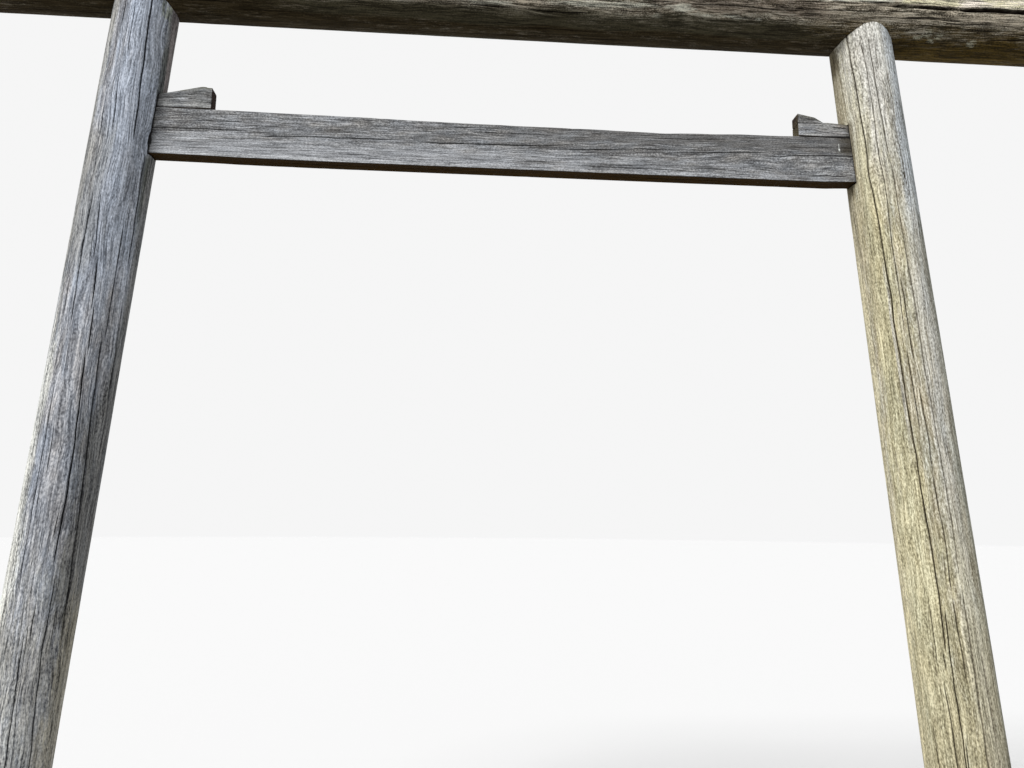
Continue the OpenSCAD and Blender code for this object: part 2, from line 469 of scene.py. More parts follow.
def makeEndRings():
    # sawn end: year rings round the pith, with a greyed, fuzzy face
    g, take, end = newGroup("endRings", dict(Place="v", Dark="c", Light="c"), dict(Colour="c"))
    parts = addNode(g, "ShaderNodeSeparateXYZ", {0: take["Place"]})
    flat = addNode(g, "ShaderNodeCombineXYZ", {0: calc(g, "ADD", parts[0], 0.009), 1: parts[1]})[0]
    wander = stretchedNoise(g, flat, (24, 24, 1), 3)
    away = vectorCalc(g, "LENGTH", {0: flat}, "Value")
    turnsOut = calc(g, "MULTIPLY", calc(g, "MULTIPLY_ADD", wander, 0.02, away), 1500)
    ring = calc(g, "MULTIPLY_ADD", calc(g, "SINE", turnsOut), 0.5, 0.5)
    fuzz = stretchedNoise(g, flat, (420, 420, 1), 3, 0.55, 2)
    patch = stretchedNoise(g, flat, (26, 26, 1), 2, 0.55, 2.2)
    share = calc(g, "MULTIPLY_ADD", ring, 0.3, calc(g, "MULTIPLY", fuzz, 0.4))
    share = calc(g, "MULTIPLY_ADD", patch, 0.3, share, clamp=True)
    plugIn(g, end, dict(Colour=blendColour(g, share, take["Dark"], take["Light"])))
    return g


fibreGrain = makeFibreGrain()
weatheredTone = makeWeatheredTone()
surfaceFilm = makeSurfaceFilm()
lichenSpots = makeLichenSpots()
endRings = makeEndRings()
print("shader groups built")

# what every timber's finish starts from
weathered = dict(sway=0.03, fineness=(1, 1, 1), rough=(0.8, 0.97), bump=0.6, bumpDepth=0.0015, gloss=0.07)


def makeTimber(name, f):
    # a film is named after its zone, and is (colour, cover, breakup, sharpness);
    # through says how strongly the grain below shows in it
    material = bpy.data.materials.new(name)
    material.use_nodes = True
    tree = material.node_tree
    shader = tree.nodes["Principled BSDF"]

    def field(key, output="Fac"):
        return addNode(tree, "ShaderNodeAttribute", {}, attribute_name=key)[output]

    place = field("grainPlace", "Vector")
    grain = groupNode(tree, fibreGrain, {"Place": place, "Sway": f["sway"], "Fineness": f["fineness"]})
    inputs = {"Ridge": field("ridge"), "Cool": (*f["cool"], 1), "Warm": (*f["warm"], 1)}
    inputs.update({key.capitalize(): tone(*f[key]) for key in ("dark", "middle", "light")})
    inputs.update({key: grain[key] for key in ("Fibre", "Streak", "Fleck", "Patch", "Line", "Tint")})
    inputs.update({key + "Weight": value for key, value in f["weights"].items()})
    toned = groupNode(tree, weatheredTone, inputs)

    def coat(colour, key, film, cover, breakup, **more):
        return groupNode(tree, surfaceFilm, {
            "Colour": colour, "Film": tone(*film), "Zone": field(key), "Place": place, "Cover": cover,
            "Breakup": breakup, "Tone": toned["Tone"], **more})["Colour"]

    colour = toned["Colour"]
    for key, (film, cover, breakup, sharp) in f["films"].items():
        through = f["through"].get(key, f["through"]["any"])
        colour = coat(colour, key, film, cover, breakup, Sharp=sharp, Through=through)
    crust, size = f["lichen"]
    colour = groupNode(tree, lichenSpots, {"Colour": colour, "Crust": tone(*crust), "Zone": field("lichen"),
                                           "Place": place, "Size": size})["Colour"]
    ends = groupNode(tree, endRings, {"Place": place, "Dark": tone(*f["endDark"]), "Light": tone(*f["endLight"])})[0]
    if "endFilm" in f:
        ends = coat(ends, "endFilm", f["endFilm"], 0.65, 1.4)
    colour = blendColour(tree, field("endGrain"), colour, ends)
    # painted shade: cracks, joints and recesses blend to the crack colour
    colour = blendColour(tree, field("crack"), colour, tone(*f["crack"]))
    bump = addNode(tree, "ShaderNodeBump", {"Strength": f["bump"], "Distance": f["bumpDepth"],
                                            "Height": grain["Height"]})[0]
    plugIn(tree, shader, {"Base Color": colour, "Roughness": spread(tree, grain["Fleck"], *f["rough"]),
                          "Normal": bump, "Specular IOR Level": f["gloss"]})
    return material


# posts: guides run down the trunk as (height, angle), 0 degrees to the right and -90 to the front

def mouthEdge(side, path):
    # a side of the mortise's mouth, which one column follows
    return dict(offsets=[0], edge=side, path=path)


post = dict(columns=424, rows=(150, 26, 16, 9), ridges=1, knotRise=0, fullWidth=False, checks=420, checkLength=260,
            checkDepth=2.2, lipFrom=3150, lipTo=3240, saddleAt=3190, saddleReach=110)

leftPost = dict(
    post, footX=0, side=1, footD=211, topD=206, seed=11,
    mortiseHalf=34, ceiling=2885.8, ceilingSlope=0.2382, ceilingAt=306.6, backX=179.8,
    knots=[(2560, -92, 9, 60), (2490, -78, 8, 50), (1780, -86, 10, 90), (1210, -112, 8, 60), (2050, -84, 6, 40),
           (900, 120, 12, 70), (2300, 170, 11, 70)],
    guides=[
        guide(2.5, [(3240, -121), (2875, -119), (2840, -118), (2300, -116), (1500, -113), (0, -106)], (2250, 2080, 4),
            (1100, 700, 6)),
        guide(3, [(3240, -113), (2770, -110), (2690, -108), (2525, -107), (2300, -107.5), (2090, -104), (1850, -105),
            (1300, -102), (800, -98), (0, -95)], (2790, 2670, 6), (1870, 1280, 6, 0.7), (640, 300, 7)),
        guide(3.4, [(3240, -106), (2900, -103.5), (2700, -101.5), (2525, -100), (2300, -101), (2090, -97),
            (1700, -95), (1300, -92), (800, -88), (0, -84)], (2540, 2060, 9), (3190, 3060, 4, 0.8)),
        guide(3.4, [(3240, -102), (2825, -96.5), (2740, -94), (2460, -92.5), (2300, -93.5), (2090, -90), (1900, -89),
            (1700, -87), (1500, -85.5), (1300, -83), (1165, -80.5), (1050, -78.5), (950, -77), (838, -74), (500, -71),
            (0, -68)], (1175, 560, 6, 0.6)),
        guide(3, [(3240, -96), (2880, -92), (2825, -90), (2740, -87), (2600, -86.5), (2460, -85), (2330, -80),
            (2290, -79.5), (2130, -76.5), (2000, -75.5), (1870, -74.5), (1730, -73.5), (1430, -72.5), (1260, -72),
            (1140, -70.5), (950, -67), (800, -63.5), (0, -58)], (2925, 2680, 9), (2500, 2270, 12, 1.1),
            (1275, 1125, 5, 0.7)),
        guide(2.4, [(3240, -88), (2880, -83.5), (2690, -80.5), (2460, -79.5), (2290, -76), (2130, -72), (2000, -70.5),
            (1870, -66.5), (1730, -63), (1650, -61), (1560, -60.5), (1500, -62), (1430, -64), (1290, -62.5),
            (1140, -61), (950, -57.5), (800, -54), (0, -48)], (1520, 1415, 7), (3200, 2940, 5, 0.8)),
        guide(4, [(3240, -80), (2880, -77), (2690, -75.5), (2460, -75.5), (2290, -72.5), (2130, -68), (2000, -66),
            (1870, -62), (1800, -60), (1730, -58), (1650, -56), (1560, -55), (1420, -57), (1290, -56.3),
            (1140, -55.5), (950, -51.5), (800, -47), (0, -40)], (2310, 2110, 11), (2010, 1345, 12)),
        guide(3.8, [(3240, -72), (2880, -68), (2690, -66), (2460, -70), (2290, -68.5), (2145, -65), (1975, -62),
            (1870, -58.5), (1730, -54.5), (1560, -51.3), (1420, -52.5), (1290, -51), (1175, -50.5), (1125, -51.5),
            (1050, -49), (950, -46), (806, -40), (400, -32), (0, -28)], (2160, 1955, 11), (1350, 850, 7, 0.6),
            (1000, 380, 10, 0.85)),
        guide(4.4, [(3240, -60.5), (3100, -58.5), (3000, -56.5), (2880, -54), (2800, -51.5), (2690, -50.5),
            (2500, -49.5), (2290, -47.5), (2045, -44.5), (1925, -42), (1825, -40), (1706, -36), (1580, -33),
            (1490, -30), (1330, -27), (1150, -23), (806, -17), (0, -8)], (3300, 2670, 16), (2065, 1110, 14, 1.15)),
        guide(3.6, [(3240, -49), (2880, -45.5), (2690, -43.5), (2500, -42.5), (2290, -41), (2050, -39), (1925, -36.5),
            (1825, -34.5), (1706, -30), (1580, -26.5), (1330, -21), (1150, -17), (910, -13), (870, -11), (500, -6),
            (0, 2)], (2430, 2030, 11), (930, 850, 6)),
        guide(5, [(3240, -33), (2900, -31), (2760, -29), (2725, -31), (2690, -30), (2650, -24.5), (2500, -22),
            (2300, -19.5), (2150, -16), (2000, -12.5), (1850, -12.5), (1580, -11.5), (1150, -7), (800, -3), (0, 8)],
            (2675, 2240, 9, 0.8), (2180, 1840, 11, 1.2)),
        mouthEdge("low", [(3240, -19.2), (2890, -19.2), (2835, -19.5), (2740, -20.6), (2729, -23.2), (2697, -23.8),
            (2688, -21.2), (2664, -20.4), (2500, -17), (2300, -14.5), (2150, -11), (2000, -8), (1500, -4), (800, 4),
            (0, 14)]),
        mouthEdge("high", [(3240, 19.2), (2640, 19.2), (2300, 23), (1500, 33), (800, 40), (0, 48)]),
        guide(3.6, [(3240, 52), (2300, 60), (1500, 70), (0, 84)], (3100, 2350, 11), (1700, 600, 9)),
        guide(4.4, [(3240, 84), (2300, 93), (1500, 101), (900, 105), (0, 116)], (2700, 1500, 15), (1320, 500, 10)),
        guide(3, [(3240, 98), (2300, 108), (1500, 116), (0, 130)], (1600, 1100, 8), (3000, 2650, 7)),
        guide(4, [(3240, 130), (2300, 138), (1500, 145), (0, 156)], (3230, 2500, 12), (2100, 1450, 9)),
        guide(3.2, [(3240, 160), (2300, 166), (1500, 172), (0, 182)], (2450, 1250, 11)),
        guide(3.6, [(3240, 192), (2300, 196), (1500, 201), (0, 208)], (1500, 350, 12), (3180, 2700, 8)),
        guide(3, [(3240, 219), (2300, 223), (1500, 227), (0, 234)], (2900, 2200, 8), (1150, 600, 7))
    ])

rightPost = dict(
    post, footX=postSpacing, side=-1, footD=254, topD=211, seed=23,
    mortiseHalf=30.5, ceiling=2887.4, ceilingSlope=0.198, ceilingAt=2672.2, backX=2798.3,
    knots=[(2170, -97, 6, 30), (1930, -78, 7, 45), (1400, -178, 10, 60), (2000, 60, 12, 80), (1100, 10, 10, 60)],
    guides=[
        mouthEdge("low", [(3240, -196.2), (2640, -196.2), (0, -196)]),
        mouthEdge("high", [(3240, -163.8), (2640, -163.8), (894, -167), (0, -167)]),
        guide(3, [(3240, -158), (2300, -160), (894, -162), (769, -161), (0, -160)], (905, 480, 8), (3180, 3050, 4)),
        guide(2.4, [(3240, -152.5), (2300, -146), (1269, -141), (1050, -141), (0, -140)], (1290, 1035, 6)),
        guide(3, [(3240, -149.5), (2300, -141.5), (1269, -137), (1019, -136), (862, -134), (0, -133)],
            (1035, 700, 9)),
        guide(2.6, [(3240, -146.5), (2300, -137), (1700, -133.5), (1269, -131.5), (1100, -131), (1050, -130),
            (862, -129.5), (0, -128)], (1115, 1035, 7)),
        guide(4.6, [(3300, -142.5), (3206, -142), (3112, -141), (3019, -139), (2862, -137.5), (2800, -135.5),
            (2737, -137), (2675, -139), (2594, -135), (2487, -133.5), (2300, -132), (2250, -130), (2175, -132),
            (2019, -131), (1831, -130.5), (1737, -128.5), (1581, -128), (1394, -126), (1269, -125), (1175, -126.5),
            (1100, -127), (862, -126.5), (0, -124)], (3360, 2080, 12), (2290, 1080, 10, 0.9)),
        guide(3.2, [(3240, -132), (2300, -127), (2019, -126), (1831, -125.5), (1581, -123.5), (1394, -121.5),
            (1269, -120.5), (1206, -120.7), (1112, -121.8), (1050, -122.8), (894, -121.8), (812, -122.4), (0, -120)],
            (1265, 600, 11)),
        guide(2.6, [(3240, -126.5), (2300, -121.5), (2019, -122), (1581, -120.2), (1206, -117.8), (1050, -118),
            (850, -118.7), (781, -119.7), (600, -118), (0, -115)], (865, 420, 9)),
        guide(3, [(3231, -120), (3175, -118.7), (3050, -115.6), (2925, -115.2), (2737, -116.6), (2675, -114.6),
            (2644, -113.5), (2519, -115), (2425, -117.6), (2300, -117), (2019, -118.7), (1819, -117), (1600, -116.5),
            (1250, -114.5), (1050, -113.5), (812, -113.5), (0, -110)], (3200, 2960, 4, 0.6), (3010, 2560, 7, 0.75),
            (2660, 2240, 10), (2330, 2090, 6, 0.7), (2075, 1770, 9)),
        guide(3.4, [(3200, -112), (2925, -110.5), (2675, -110), (2519, -110.5), (2425, -113), (2262, -111.5),
            (2144, -110.4), (2050, -111), (1950, -110), (1875, -108.4), (1769, -106.7), (1675, -107.4),
            (1625, -108.8), (1531, -107.4), (1506, -105.7), (1425, -105.3), (1300, -107.4), (1250, -107.4),
            (1144, -106.3), (1050, -105.3), (812, -105), (0, -101)], (2330, 2000, 10), (1950, 1630, 10),
            (1670, 1490, 11, 1.4), (1550, 1255, 10), (1290, 1000, 9)),
        guide(2.4, [(3200, -108.5), (2675, -105.5), (2262, -107.5), (2000, -107.4), (1912, -106.3), (1875, -104.5),
            (1769, -103.2), (1506, -102), (1050, -101.5), (0, -97)], (2015, 1900, 6)),
        guide(3.6, [(3240, -105.5), (3162, -105), (3050, -104), (2925, -103), (2862, -102), (2750, -100.6),
            (2731, -99), (2681, -98), (2637, -96.5), (2519, -97.7), (2425, -96.7), (2300, -95.4), (2112, -94.4),
            (1987, -95.4), (1875, -94), (1737, -92.4), (1637, -91.3), (1487, -91), (1375, -91.5), (1237, -91.3),
            (1087, -91.3), (925, -92.4), (831, -93), (0, -90)], (3200, 2700, 12), (2730, 2230, 11),
            (2330, 1930, 12, 1.3), (1990, 1800, 6, 0.8), (1900, 1320, 11, 1.1), (1310, 560, 12, 1.5)),
        guide(2.4, [(3250, -98), (3100, -97.5), (2862, -97), (2750, -95.5), (2637, -92.5), (2300, -91), (1875, -89.5),
            (1487, -86.5), (831, -88), (0, -85)], (3300, 3205, 7), (2900, 2830, 3)),
        guide(4, [(3240, -81), (3062, -79), (2950, -76.5), (2812, -77.6), (2719, -75), (2581, -73.4), (2300, -75),
            (2000, -77), (1787, -77.6), (1675, -76.5), (1300, -76), (0, -73)], (3075, 2560, 5), (1800, 1660, 6, 0.7),
            (1150, 700, 6)),
        guide(3, [(3240, -62), (2300, -58), (1000, -57), (0, -54)], (2750, 2100, 8), (1500, 900, 7)),
        guide(4.2, [(3240, -32), (2300, -28), (1000, -26), (0, -22)], (3240, 1900, 14)),
        guide(3.4, [(3240, -4), (2300, 0), (1000, 3), (0, 8)], (2500, 1300, 11), (1000, 500, 8)),
        guide(3, [(3240, 24), (2300, 28), (1000, 31), (0, 36)], (1900, 700, 10)),
        guide(4.4, [(3240, 58), (2300, 62), (1000, 64), (0, 69)], (3180, 2450, 11), (2200, 1500, 12)),
        guide(3.2, [(3240, 90), (2300, 93), (1000, 96), (0, 100)], (1750, 500, 11)),
        guide(3.6, [(3240, 116), (2300, 118), (1000, 121), (0, 124)], (2900, 1700, 12)),
        guide(3, [(3240, 139), (2300, 141), (1000, 143), (0, 146)], (1400, 800, 8), (2500, 2150, 7))
    ])
footShares = [0.08, 0.3, 0.6, 0.9]
saddleShares = [0.985, 0.9, 0.7, 0.4, 0.1]
mortiseShares = [0.12, 0.4, 0.7, 1]


def postRows(p):
    # row heights before they are fitted to the mortise's ceiling and to the top log
    low, pocket, upper, lip = p["rows"]
    floorZ = beamFloor - seatGap
    z = np.concatenate([[0, 5], np.linspace(18, floorZ, low, endpoint=False),
                        np.linspace(floorZ, p["ceiling"], pocket, endpoint=False),
                        np.linspace(p["ceiling"], p["lipFrom"], upper, endpoint=False),
                        np.linspace(p["lipFrom"], p["lipTo"], lip + 1)])
    return z, 2 + low, 2 + low + pocket, 2 + low + pocket + upper


def saddleHeight(y):
    return logAxisZ - np.sqrt((logRadius + seatGap) ** 2 - y ** 2)


def buildPost(name, p, zones, material, node):
    z, floorRow, ceilingRow, lipRow = postRows(p)
    meanRadius = 0.25 * (p["footD"] + p["topD"])
    angle, where, s, u, core, relief, dark, ridge = weatherWall(z, p, 360, 2 * math.pi * meanRadius)
    columns = angle.shape[1]
    relief[:2] = relief[2]
    relief[0] += 2.5  # the foot's edge is worn
    turn = np.radians(angle)
    cosT, sinT = np.cos(turn), np.sin(turn)

    # painted shade and dirt line the mortise's mouth
    low, high = [where[k] for k, g in enumerate(p["guides"]) if "edge" in g]
    for k, shade in ((low, 0.9), (low - 1, 0.4), (high, 0.9), (high + 1, 0.4)):
        edge = dark[floorRow:ceilingRow + 1, k]
        edge[:] = np.maximum(edge, shade)

    # rows follow the mortise's sloping ceiling, then the saddle's rim
    def radiusAt(h):
        return 0.5 * (p["footD"] + (p["topD"] - p["footD"]) * h / logAxisZ)

    def axisAt(h):
        return p["footX"] + p["side"] * h * leanSlope

    def ceilingAt(x):
        return p["ceiling"] + p["side"] * (x - p["ceilingAt"]) * p["ceilingSlope"]

    def stretch(first, last, ends):
        part = ((z[first:last] - z[first]) / (z[min(last, len(z) - 1)] - z[first]))[:, None]
        height[first:last] = ends[0] + part * (ends[1] - ends[0])

    height = s.copy()
    mouthX = axisAt(p["ceiling"]) + radiusAt(p["ceiling"]) * cosT[ceilingRow]
    inMouth = (np.arange(columns) >= low) & (np.arange(columns) <= high)
    ceilingZ = ceilingAt(np.where(inMouth, mouthX, mouthX[low]))
    stretch(floorRow, ceilingRow, (z[floorRow], ceilingZ))
    stretch(ceilingRow, lipRow, (ceilingZ, z[lipRow]))
    radius = radiusAt(height) - relief
    ragged = 1.5 + 1.5 * streaks(u[-1], s[-1], 60, 300, p["seed"] + 7)
    rim = saddleHeight(radius[-1] * sinT[-1]) - ragged * ease(np.abs(sinT[-1]) * 1.6)
    stretch(lipRow, len(z), (z[lipRow], rim))
    radius = radiusAt(height) - relief
    wall = np.stack([axisAt(height) + radius * cosT, radius * sinT, height], -1)

    # foot and saddle are rings drawn in from the wall
    def ring(edge, share, centreX, heightOf):
        middle = np.array([centreX, 0])
        flat = middle + (edge[:, :2] - middle) * share
        return np.column_stack([flat, heightOf(np.minimum(np.abs(flat[:, 1]), p["saddleReach"]))])

    foot = [ring(wall[0], q, axisAt(0), lambda y: 0 * y) for q in footShares]
    saddle = [ring(wall[-1], q, axisAt(p["saddleAt"]), saddleHeight) for q in saddleShares]
    grid = np.concatenate([foot, wall, saddle])
    before, after = len(foot), len(saddle)
    pull = footShares + [1] * len(z) + saddleShares
    grainPlace = roundGrain(u, before, after, pull, meanRadius, grid[..., 2])
    folded = (angle + 180) % 360 - 180
    fields = timberFields(grainPlace, dark, ridge * (1 - 0.5 * core), zones(folded, height, u), before, after)

    # the mortise: its cells are left out, and its sides run in to a back wall
    skip = np.zeros((len(grid) - 1, columns), bool)
    rowLow, rowHigh, floorZ = before + floorRow, before + ceilingRow, z[floorRow]
    skip[rowLow:rowHigh, low:high] = True
    loop = [(rowLow, k) for k in range(low, high)] + [(r, high) for r in range(rowLow, rowHigh)]
    loop += [(rowHigh, k) for k in range(high, low, -1)] + [(r, low) for r in range(rowHigh, rowLow, -1)]
    mouth = np.array([grid[r, k] for r, k in loop])
    upShare = (mouth[:, 2] - floorZ) / (ceilingAt(mouth[:, 0]) - floorZ)
    back = np.column_stack([np.full(len(loop), p["backX"]), np.clip(mouth[:, 1], -p["mortiseHalf"], p["mortiseHalf"]),
                            floorZ + upShare * (ceilingAt(p["backX"]) - floorZ)])
    points = np.vstack([mouth + (back - mouth) * q for q in mortiseShares] + [back.mean(0)[None, :]])
    offset = len(grid) * columns + 2
    count = len(loop)
    rings = [[r * columns + k for r, k in loop]]
    rings += [[offset + k * count + i for i in range(count)] for k in range(len(mortiseShares))]
    faces = [[outer[i], outer[(i + 1) % count], inner[(i + 1) % count], inner[i]]
             for outer, inner in zip(rings[:-1], rings[1:]) for i in range(count)]
    faces += [[rings[-1][i], rings[-1][(i + 1) % count], offset + len(points) - 1] for i in range(count)]
    plain = np.ones((len(points), 1))
    # the mortise's inside is darkened with painted shade
    extra = dict(grainPlace=(points - [p["footX"], 0, 0]) * mm, crack=0.6 * plain, ridge=0.4 * plain)
    settle(gridObject(name, grid, False, fields, skip, points, faces, extra), node, material)


def leftZones(angle, z, u):
    a = angle + 9 * streaks(u, z, 14, 300, 91)
    above, upper = rise(z, 2780, 120), rise(z, 1850, 300)
    # brown: the post's right side, turned from the lamp, is darkened further: painted shade
    brown = ease((a + 42 - 17 * upper + 10 * above) / (30 - 8 * upper)) * fall(a, 120, 40)
    brown = brown * (1 - 0.85 * fall(z, 1150, 250)) + 0.6 * band(a, -36, 12, 12) * band(z, 1520, 220, 200)
    return dict(
        # cool: a paler, bluer face at the front right, partly the wood's blue-grey and partly a painted sheen
        cool=band(a, -58, 32, 20) * rise(z, 1950, 600),
        # a narrow dark streak beside the mortise's mouth, above and below the beam: painted shadow
        paintedShadowStreak=band(angle, -16, 5, 4) * (band(z, 2960, 60, 60) + 0.9 * fall(z, 2664, 6) * rise(z, 2300, 200)),
        warm=0.8 * fall(z, 1700, 900) + 0.6 * fall(a, -104, 34) + 0.6 * rise(a, 85, 45),
        brown=brown,
        red=rise(a, -20, 16) * fall(a, 100, 40) * above,
        olive=rise(a, -38, 24) * fall(a, 100, 40) * fall(z, 1400, 350)
        + 0.7 * fall(a, -118, 16) * fall(z, 1250, 250),
        dull=band(a, -108, 20, 18) * band(z, 2480, 170, 140) + fall(a, -114, 16) * rise(z, 2250, 350)
        + band(a, -118, 10, 10) * band(z, 950, 200, 200) + 0.35 * band(a, -40, 14, 14) * band(z, 1450, 200, 250),
        pale=fall(a, -106, 22) * fall(z, 2150, 250) * rise(z, 1050, 250),
        crust=0.8 * rise(z, 3120, 50) * band(a, -29, 13, 8),
        lichen=0.35 * fall(a, -95, 20))


def rightZones(angle, z, u):
    a = angle + 8 * streaks(u, z, 14, 260, 93)
    a = np.where(a > 120, a - 360, a)
    middle = rise(z, 900, 700) * fall(z, 3050, 700)
    mainCrack = follow(z, rightPost["guides"][6]["path"])
    return dict(
        lip=band(angle, mainCrack - 3.6, 1.4, 1.6) * rise(z, 1650, 250) * fall(z, 2420, 200),
        pale=rise(z, 2350, 900) * rise(a, -178, 25) * fall(a, -20, 40)
        + 0.6 * band(a, -84, 10, 12) * fall(z, 2500, 300) + 0.5 * band(a, -108, 10, 10) * rise(z, 2500, 300),
        yellow=band(a, -151, 8, 30) * (0.35 + 0.5 * middle)
        + 0.4 * band(a, -120, 16, 26) * band(z, 2450, 300, 300) + 0.85 * band(a, -165, 90, 50) * fall(z, 1900, 900),
        # cool and blue: a bluish cast on the right flank, painted skylight
        cool=rise(a, -100, 34) * fall(a, 60, 40) * (0.35 + 0.65 * rise(z, 1500, 800)),
        # painted shade on the right flank, turned from the lamp
        shade=rise(a, -64, 14) * fall(a, 40, 60),
        paintedSkyBlue=rise(a, -86, 22) * fall(a, 20, 60) * rise(z, 2350, 350),
        # brown: warmer low down; high on the left side it is the log's painted shadow
        brown=0.6 * fall(z, 1500, 900) * rise(a, -190, 20) + fall(a, -164, 20) * rise(z, 2200, 600)
        + 0.8 * band(a, -170, 14, 16) * band(z, 2440, 190, 160),
        sunny=fall(a, -174, 20) * rise(a, -290, 40) * (0.3 + 0.7 * fall(z, 2560, 350)),
        # dark brown under the log's rim and beside the beam's joint: dirt and painted shade
        dirtAndPaintedShade=fall(a, -160, 12) * rise(z, 3060, 60) * rise(a, -240, 30)
        + 0.8 * band(a, -162, 2.5, 4) * rise(z, 2650, 30) * fall(z, 2905, 30)
        + 0.8 * fall(a, -163, 5) * rise(a, -202, 8) * rise(z, 2590, 60) * fall(z, 2672, 8),
        lichen=0.3 * band(a, -70, 20, 15))


leftPostWood = makeTimber("leftPostWood", dict(
    weathered, dark=(92, 94, 99), middle=(156, 159, 165), light=(218, 220, 224), crack=(44, 44, 47),
    cool=(0.93, 0.99, 1.07), warm=(1.05, 1, 0.95), endDark=(92, 84, 72), endLight=(140, 132, 116),
    weights=dict(Fibre=0.8, Streak=0.4, Fleck=0.6, Patch=0.3, Ridge=0.35, Line=0.35), through=dict(any=1.7, cool=1.2),
    # cool: partly a painted sheen
    films=dict(cool=((188, 198, 214), 0.6, 0.8, 1.2), warm=((188, 185, 172), 0.5, 0.9, 1.2),
               # brown: painted shade on the post's right side
               brown=((114, 114, 111), 0.75, 0.7, 1.3), olive=((168, 162, 144), 0.65, 0.9, 1.2),
               # damp: a painted shadow streak
               red=((134, 125, 124), 0.7, 0.8, 1.3), paintedShadowStreak=((82, 86, 80), 0.7, 0.9, 1.3),
               dull=((128, 127, 122), 0.55, 0.8, 1.2), pale=((220, 220, 212), 0.65, 0.9, 1.2),
               crust=((158, 164, 148), 0.7, 1.8, 2.2)),
    lichen=((176, 182, 166), 0.022)))
rightPostWood = makeTimber("rightPostWood", dict(
    weathered, dark=(118, 110, 90), middle=(180, 174, 155), light=(238, 234, 218), crack=(88, 77, 62),
    cool=(0.95, 1, 1.04), warm=(1.05, 1, 0.92), sway=0.026, endDark=(110, 96, 74), endLight=(158, 146, 120),
    weights=dict(Fibre=0.62, Streak=0.35, Fleck=0.72, Patch=0.25, Ridge=0.26, Line=0.35),
    through=dict(any=1.35, paintedSkyBlue=2.3, cool=1.7),
    films=dict(pale=((212, 211, 207), 0.68, 0.8, 1), yellow=((198, 189, 140), 0.45, 1.1, 1.1),
               # cool here is painted skylight, and brown is partly the log's painted shadow
               cool=((190, 192, 188), 0.6, 0.7, 1), brown=((158, 147, 120), 0.55, 0.9, 1.1),
               # shade: painted shade
               shade=((128, 130, 116), 0.5, 0.8, 1.1), sunny=((240, 229, 190), 0.65, 0.8, 1),
               # blue: painted skylight
               paintedSkyBlue=((180, 189, 198), 0.55, 0.7, 1), lip=((192, 189, 182), 0.7, 0.7, 1.2),
               # dirt: dirt and painted shade
               dirtAndPaintedShade=((96, 86, 64), 0.75, 0.8, 1.2)),
    lichen=((200, 204, 186), 0.026)))

buildPost("leftPost", leftPost, leftZones, leftPostWood, "left_post")
buildPost("rightPost", rightPost, rightZones, rightPostWood, "right_post")


# top log: guides run along it as (place, angle), 0 degrees at the front, -90 at the bottom, 90 at the top

